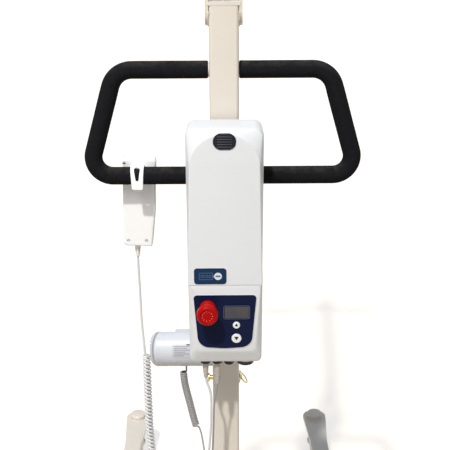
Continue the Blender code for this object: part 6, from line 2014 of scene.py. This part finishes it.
def build_fork(name, at, braked):
    """Crown, two pressed arms, stem, axle bolt, and at the rear the lugs of the brake pedal."""
    low = CASTER_TOP - 0.012
    profile = [(0.0195, low), (0.0215, low + 0.0008), (0.0235, low + 0.003), (0.024, low + 0.0050)]
    profile += [
        (0.0240, low + 0.0068), (0.0232, low + 0.0074), (0.0240, low + 0.0080), (0.024, CASTER_TOP - 0.0012)
    ]
    profile += [(0.0232, CASTER_TOP - 0.0003), (0.022, CASTER_TOP)]
    parts = [rod_shape(0.006, "z", CASTER_TOP - 0.004, CASTER_TOP + 0.018, sides=32)]
    top = (-0.004, CASTER_TOP - 0.016)
    nose = (-CASTER_TRAIL, WHEEL_R)
    for side in (-1, 1):
        inner, outer = sorted((side * 0.015, side * 0.019))
        parts.append(prism(strap(top, 0.015, nose, 0.012, 20), "x", inner, outer))
        if braked:
            lug = strap(top, 0.010, (-PEDAL_BACK, PEDAL_Z), 0.007, 16)
            parts.append(prism(lug, "x", inner + 0.0004, outer - 0.0004))
    shape = joined(turned(profile, "z"), *parts)
    body = name + "_caster"
    piece(name + "_fork_arms", shape, "steel_bright", body, [name + "_fork"], at, ease=0.0007)
    bolts = [rod_shape(0.005, "x", -0.0225, 0.0225, (0, *nose), 32)]
    for side in (-1, 1):
        flip = spin(side * 90, "Y")
        bolts.append(moved(hex_head(0.0078, 0.0036), shift(side * 0.0192, *nose), flip))
    if braked:
        bolts.append(soft_rod(0.004, "x", -0.0198, 0.0198, 0.0008, (0, -PEDAL_BACK, PEDAL_Z), 32))
    piece(name + "_axle_bolt", together(*bolts), "steel_bright", body, at=at, sharp=25)


def build_wheel(name, at, rib_count):
    """Grey tread with rounded shoulders on a hub with a ribbed, dished face."""
    half = 0.013
    tread = [(0.0305, half - 0.0012), (0.0350, half - 0.0002)]
    tread += [(WHEEL_R - 0.0050 * s, half - 0.0002 - 0.0050 * c) for c, s in quarter(6)[1:]]
    tread.append((WHEEL_R, 0.003))
    profile = tread + [(radius, -along) for radius, along in reversed(tread)] + [(0.0290, 0.0)]
    tyre = turned(profile, "x", sides=96, looped=True)
    body = name + "_roller"
    piece(name + "_tyre", tyre, "tyre_grey", body, [name + "_wheel"], at)
    face = [
        (0.0056, 0.0118), (0.0095, 0.0122), (0.0102, 0.0118), (0.0108, 0.0095), (0.0255, 0.0088),
        (0.0275, 0.0105),
    ]
    face += [(0.0285, 0.0120), (0.0306, 0.0122), (0.0306, 0.0115)]
    hub = turned(face + [(radius, -along) for radius, along in reversed(face)], "x", sides=64, looped=True)
    ribs = []
    for side in (-1, 1):
        for i in range(rib_count):
            rib = block((side * 0.0102 - 0.0016, -0.0009, 0.0100), (side * 0.0102 + 0.0012, 0.0009, 0.0272))
            ribs.append(moved(rib, Matrix.Rotation(math.tau * i / rib_count, 4, "X")))
    piece(name + "_hub", together(hub, *ribs), "hub_grey", body, at=at)


def build_brake(name, at):
    """The foot pedal of a braked caster, with grip ribs on its tread."""
    hub = rod_shape(0.007, "x", -0.0145, 0.0145)
    corners = [(0.0, -0.003), (-0.046, 0.001), (-0.050, 0.006), (-0.047, 0.0085), (0.0, 0.004)]
    plate = prism(filleted(corners, (0.0005, 0.002, 0.0015, 0.0015, 0.0005), 5), "x", -0.0115, 0.0115)
    shape = cut(joined(hub, plate), rod_shape(0.0045, "x", -0.03, 0.03, sides=32))
    body = name + "_brake"
    piece(name + "_brake_tread", shape, "plastic_black", body, [name + "_brake_pedal"], at, ease=0.0007)
    rib = soft_rod(0.0007, "x", -0.0095, 0.0095, 0.0006, sides=10, steps=2)
    ribs = grown(row_tree(), rib, count=6, step=(0.0, -0.0048, 0.00046), material=finish("plastic_black"))
    at = at @ shift(0, -0.020, 0.0058)
    piece(name + "_brake_ribs", ribs, "plastic_black", body, at=at)


# Add-on


def colour(name, description, default):
    return bpy.props.FloatVectorProperty(
        name=name, description=description, default=default, size=3, min=0.0, max=1.0, subtype="COLOR"
    )


class LiftFinishes(bpy.types.PropertyGroup):
    """Colours of the lift's finishes."""

    cream: colour("Cream paint", "Powder coat of the steel frame", (0.742, 0.686, 0.605))
    unit: colour("Unit white", "Case of the battery pack", (0.765, 0.790, 0.812))
    box: colour("Box white", "Case of the control box", (0.735, 0.755, 0.765))
    handset: colour("Handset white", "Shells and hook of the handset", (0.96, 0.965, 0.965))
    # Blue-grey white: the motor housing's white with a painted shade in it.
    motor: colour("Motor white", "Housing of the actuator's motor", (0.63, 0.66, 0.71))
    foam: colour("Grip foam", "Foam sleeves on the push handle", (0.011, 0.011, 0.013))
    plastic: colour("Black plastic", "Pedals, sockets and the battery's grip", (0.015, 0.015, 0.017))
    plug: colour("Plug grey", "Cable plugs and handset keys", (0.50, 0.46, 0.42))
    zinc: colour("Yellow zinc", "Pins and bolts", (0.62, 0.55, 0.36))
    steel: colour("Bright steel", "Hanger, actuator tube and caster forks", (0.60, 0.60, 0.61))
    tyre: colour("Tyre grey", "Treads of the casters", (0.12, 0.12, 0.13))
    panel: colour("Panel navy", "Film over the control panel", (0.006, 0.011, 0.042))
    label: colour("Label navy", "Plate on the battery", (0.006, 0.033, 0.090))
    display: colour("Display", "Glass of the display when it is off", (0.055, 0.058, 0.075))
    stop: colour("Stop red", "Emergency stop", (0.42, 0.003, 0.002))
    button: colour("Button white", "Up and down buttons", (0.85, 0.86, 0.87))
    handset_cord: colour("Handset cord", "Sheath of the handset's cord", (0.70, 0.71, 0.72))
    actuator_cord: colour("Actuator cable", "Sheath of the actuator's cable", (0.30, 0.30, 0.305))


def length(name, description, default):
    return bpy.props.FloatProperty(
        name=name, description=description, default=default, min=0.0, subtype="DISTANCE", unit="LENGTH",
        precision=5,
    )


def amount(name, description, default):
    return bpy.props.FloatProperty(name=name, description=description, default=default, min=0.0)


def angle(name, description, degrees):
    return bpy.props.FloatProperty(
        name=name, description=description, default=math.radians(degrees), subtype="ANGLE"
    )


def count(name, description, default, low, high):
    return bpy.props.IntProperty(name=name, description=description, default=default, min=low, max=high)


class LiftSizes(bpy.types.PropertyGroup):
    """Sizes and numbers that the frame leaves open."""

    label_x: bpy.props.FloatProperty(
        name="Label across", description="Middle of the battery's label from the mast's centre",
        default=-0.0260, subtype="DISTANCE", unit="LENGTH", precision=5,
    )
    label_z: length("Label height", "Middle of the battery's label above the floor", 0.9440)
    screen_width: length("Screen width", "Shown part of the display, across", 0.0428)
    screen_height: length("Screen height", "Shown part of the display, upwards", 0.0218)
    handset_cord_width: length("Handset cord", "Diameter of the handset's cord", 0.0045)
    actuator_cord_width: length("Actuator cable", "Diameter of the actuator's cable", 0.0036)
    curl_turns: count("Curl turns", "Turns in the handset cord's curl", 41, 4, 60)
    coil_turns: count("Coil turns", "Turns in the actuator cable's coil", 34, 4, 60)
    grip_ribs: count("Grip ribs", "Ribs on the battery's latch grip", 5, 2, 8)
    stop_dots: count("Stop dots", "Marks in the ring on the stop's face", 11, 4, 24)
    relief_rows: count("Relief rows", "Rows of slots in the handset's strain relief", 3, 1, 4)
    pedal_ribs: count("Pedal ribs", "Ribs on each tread of the leg pedal", 8, 2, 10)
    hub_ribs: count("Hub ribs", "Spokes on each face of a caster's hub", 8, 3, 16)


class StageSettings(bpy.types.PropertyGroup):
    """Camera and light."""

    lens: bpy.props.FloatProperty(
        name="Lens", description="Focal length in millimetres", default=67.2, min=10.0
    )
    distance: length("Distance", "From the camera to the mast, level", 1.465)
    height: length("Height", "Camera above the floor", 1.50)
    pitch: angle("Pitch", "How far the camera looks down", 19)
    roll: angle("Roll", "How far the camera leans", -0.35)
    key_travel: bpy.props.FloatVectorProperty(
        name="Key direction", description="Way in which the main light travels",
        default=(0.20, 0.53, -0.83), subtype="DIRECTION",
    )
    key_strength: amount("Key strength", "Main light", 2.6)
    key_angle: angle("Key softness", "Angle that the main light covers", 2.5)
    key_colour: colour("Key colour", "Colour of the main light", (1.0, 0.97, 0.93))
    fill_power: amount("Fill", "Soft front light in watts", 7.0)
    sky_strength: amount("Sky", "Even light from all round", 0.31)
    sky_colour: colour("Sky colour", "Colour of the even light", (0.76, 0.86, 1.0))


class LIFT_OT_stage(bpy.types.Operator):
    """Camera, pale floor and soft studio light"""

    bl_idname = "lift.stage"
    bl_label = "Stage"

    def execute(self, context):
        build_stage(context.scene)
        return {"FINISHED"}


class LIFT_OT_cords(bpy.types.Operator):
    """The handset's cord and the actuator's cable, each at its whole length"""

    bl_idname = "lift.cords"
    bl_label = "Cords"

    def execute(self, context):
        build_cords(context.scene)
        return {"FINISHED"}


class LIFT_OT_base(bpy.types.Operator):
    """Cross beam, legs and the pedal that spreads them"""

    bl_idname = "lift.base"
    bl_label = "Base and legs"

    def execute(self, context):
        build_base(context.scene)
        return {"FINISHED"}


class LIFT_OT_casters(bpy.types.Operator):
    """Four casters with forks, wheels and the rear brake pedals"""

    bl_idname = "lift.casters"
    bl_label = "Casters"

    def execute(self, context):
        build_casters(context.scene)
        return {"FINISHED"}


class LIFT_OT_mast(bpy.types.Operator):
    """Mast, its head and the boom's pivot bolt"""

    bl_idname = "lift.mast"
    bl_label = "Mast"

    def execute(self, context):
        build_mast(context.scene)
        return {"FINISHED"}


class LIFT_OT_boom(bpy.types.Operator):
    """Lifting boom with its fork and lugs"""

    bl_idname = "lift.boom"
    bl_label = "Boom"

    def execute(self, context):
        build_boom(context.scene)
        return {"FINISHED"}


class LIFT_OT_spreader(bpy.types.Operator):
    """Hanger and spreader bar with hooks and keepers"""

    bl_idname = "lift.spreader"
    bl_label = "Spreader bar"

    def execute(self, context):
        build_spreader(context.scene)
        return {"FINISHED"}


class LIFT_OT_actuator(bpy.types.Operator):
    """Motor housing, tube, rod, foot bracket and pins"""

    bl_idname = "lift.actuator"
    bl_label = "Actuator"

    def execute(self, context):
        build_actuator(context.scene)
        return {"FINISHED"}


class LIFT_OT_handle(bpy.types.Operator):
    """Push handle with its foam grips"""

    bl_idname = "lift.handle"
    bl_label = "Push handle"

    def execute(self, context):
        build_handle(context.scene)
        return {"FINISHED"}


class LIFT_OT_battery(bpy.types.Operator):
    """Battery pack with its label and latch grip"""

    bl_idname = "lift.battery"
    bl_label = "Battery pack"

    def execute(self, context):
        build_battery(context.scene)
        return {"FINISHED"}


class LIFT_OT_control_box(bpy.types.Operator):
    """Case of the control box"""

    bl_idname = "lift.control_box"
    bl_label = "Control box"

    def execute(self, context):
        build_control_box(context.scene)
        return {"FINISHED"}


class LIFT_OT_control_face(bpy.types.Operator):
    """Panel film, display, emergency stop and buttons"""

    bl_idname = "lift.control_face"
    bl_label = "Control face"

    def execute(self, context):
        build_control_face(context.scene)
        return {"FINISHED"}


class LIFT_OT_connectors(bpy.types.Operator):
    """Sockets under the control box and the plugs in them"""

    bl_idname = "lift.connectors"
    bl_label = "Connectors"

    def execute(self, context):
        build_connectors(context.scene)
        return {"FINISHED"}


class LIFT_OT_handset(bpy.types.Operator):
    """Handset with its hook, keys and strain relief"""

    bl_idname = "lift.handset"
    bl_label = "Handset"

    def execute(self, context):
        build_handset(context.scene)
        return {"FINISHED"}


OPERATORS = (
    LIFT_OT_stage,
    LIFT_OT_cords,
    LIFT_OT_base,
    LIFT_OT_casters,
    LIFT_OT_mast,
    LIFT_OT_boom,
    LIFT_OT_spreader,
    LIFT_OT_actuator,
    LIFT_OT_handle,
    LIFT_OT_battery,
    LIFT_OT_control_box,
    LIFT_OT_control_face,
    LIFT_OT_connectors,
    LIFT_OT_handset,
)


class LIFT_PT_panel(bpy.types.Panel):
    """Every builder of the lift, and the values that they read"""

    bl_idname = "LIFT_PT_panel"
    bl_label = "Patient lift"
    bl_space_type = "VIEW_3D"
    bl_region_type = "UI"
    bl_category = "Patient lift"

    def draw(self, context):
        for made in OPERATORS:
            self.layout.operator(made.bl_idname)
        for group in (context.scene.lift_sizes, context.scene.lift_finishes, context.scene.lift_stage):
            box = self.layout.box()
            for key in group.bl_rna.properties.keys():
                if key not in ("rna_type", "name"):
                    box.prop(group, key)


GROUPS = {"lift_finishes": LiftFinishes, "lift_sizes": LiftSizes, "lift_stage": StageSettings}
CLASSES = (*GROUPS.values(), *OPERATORS, LIFT_PT_panel)


def register():
    for made in CLASSES:
        bpy.utils.register_class(made)
    for key, group in GROUPS.items():
        setattr(bpy.types.Scene, key, bpy.props.PointerProperty(type=group))


def unregister():
    for key in GROUPS:
        delattr(bpy.types.Scene, key)
    for made in reversed(CLASSES):
        bpy.utils.unregister_class(made)


def main():
    register()
    for made in OPERATORS:
        group, name = made.bl_idname.split(".")
        getattr(getattr(bpy.ops, group), name)()


if __name__ == "__main__":
    main()
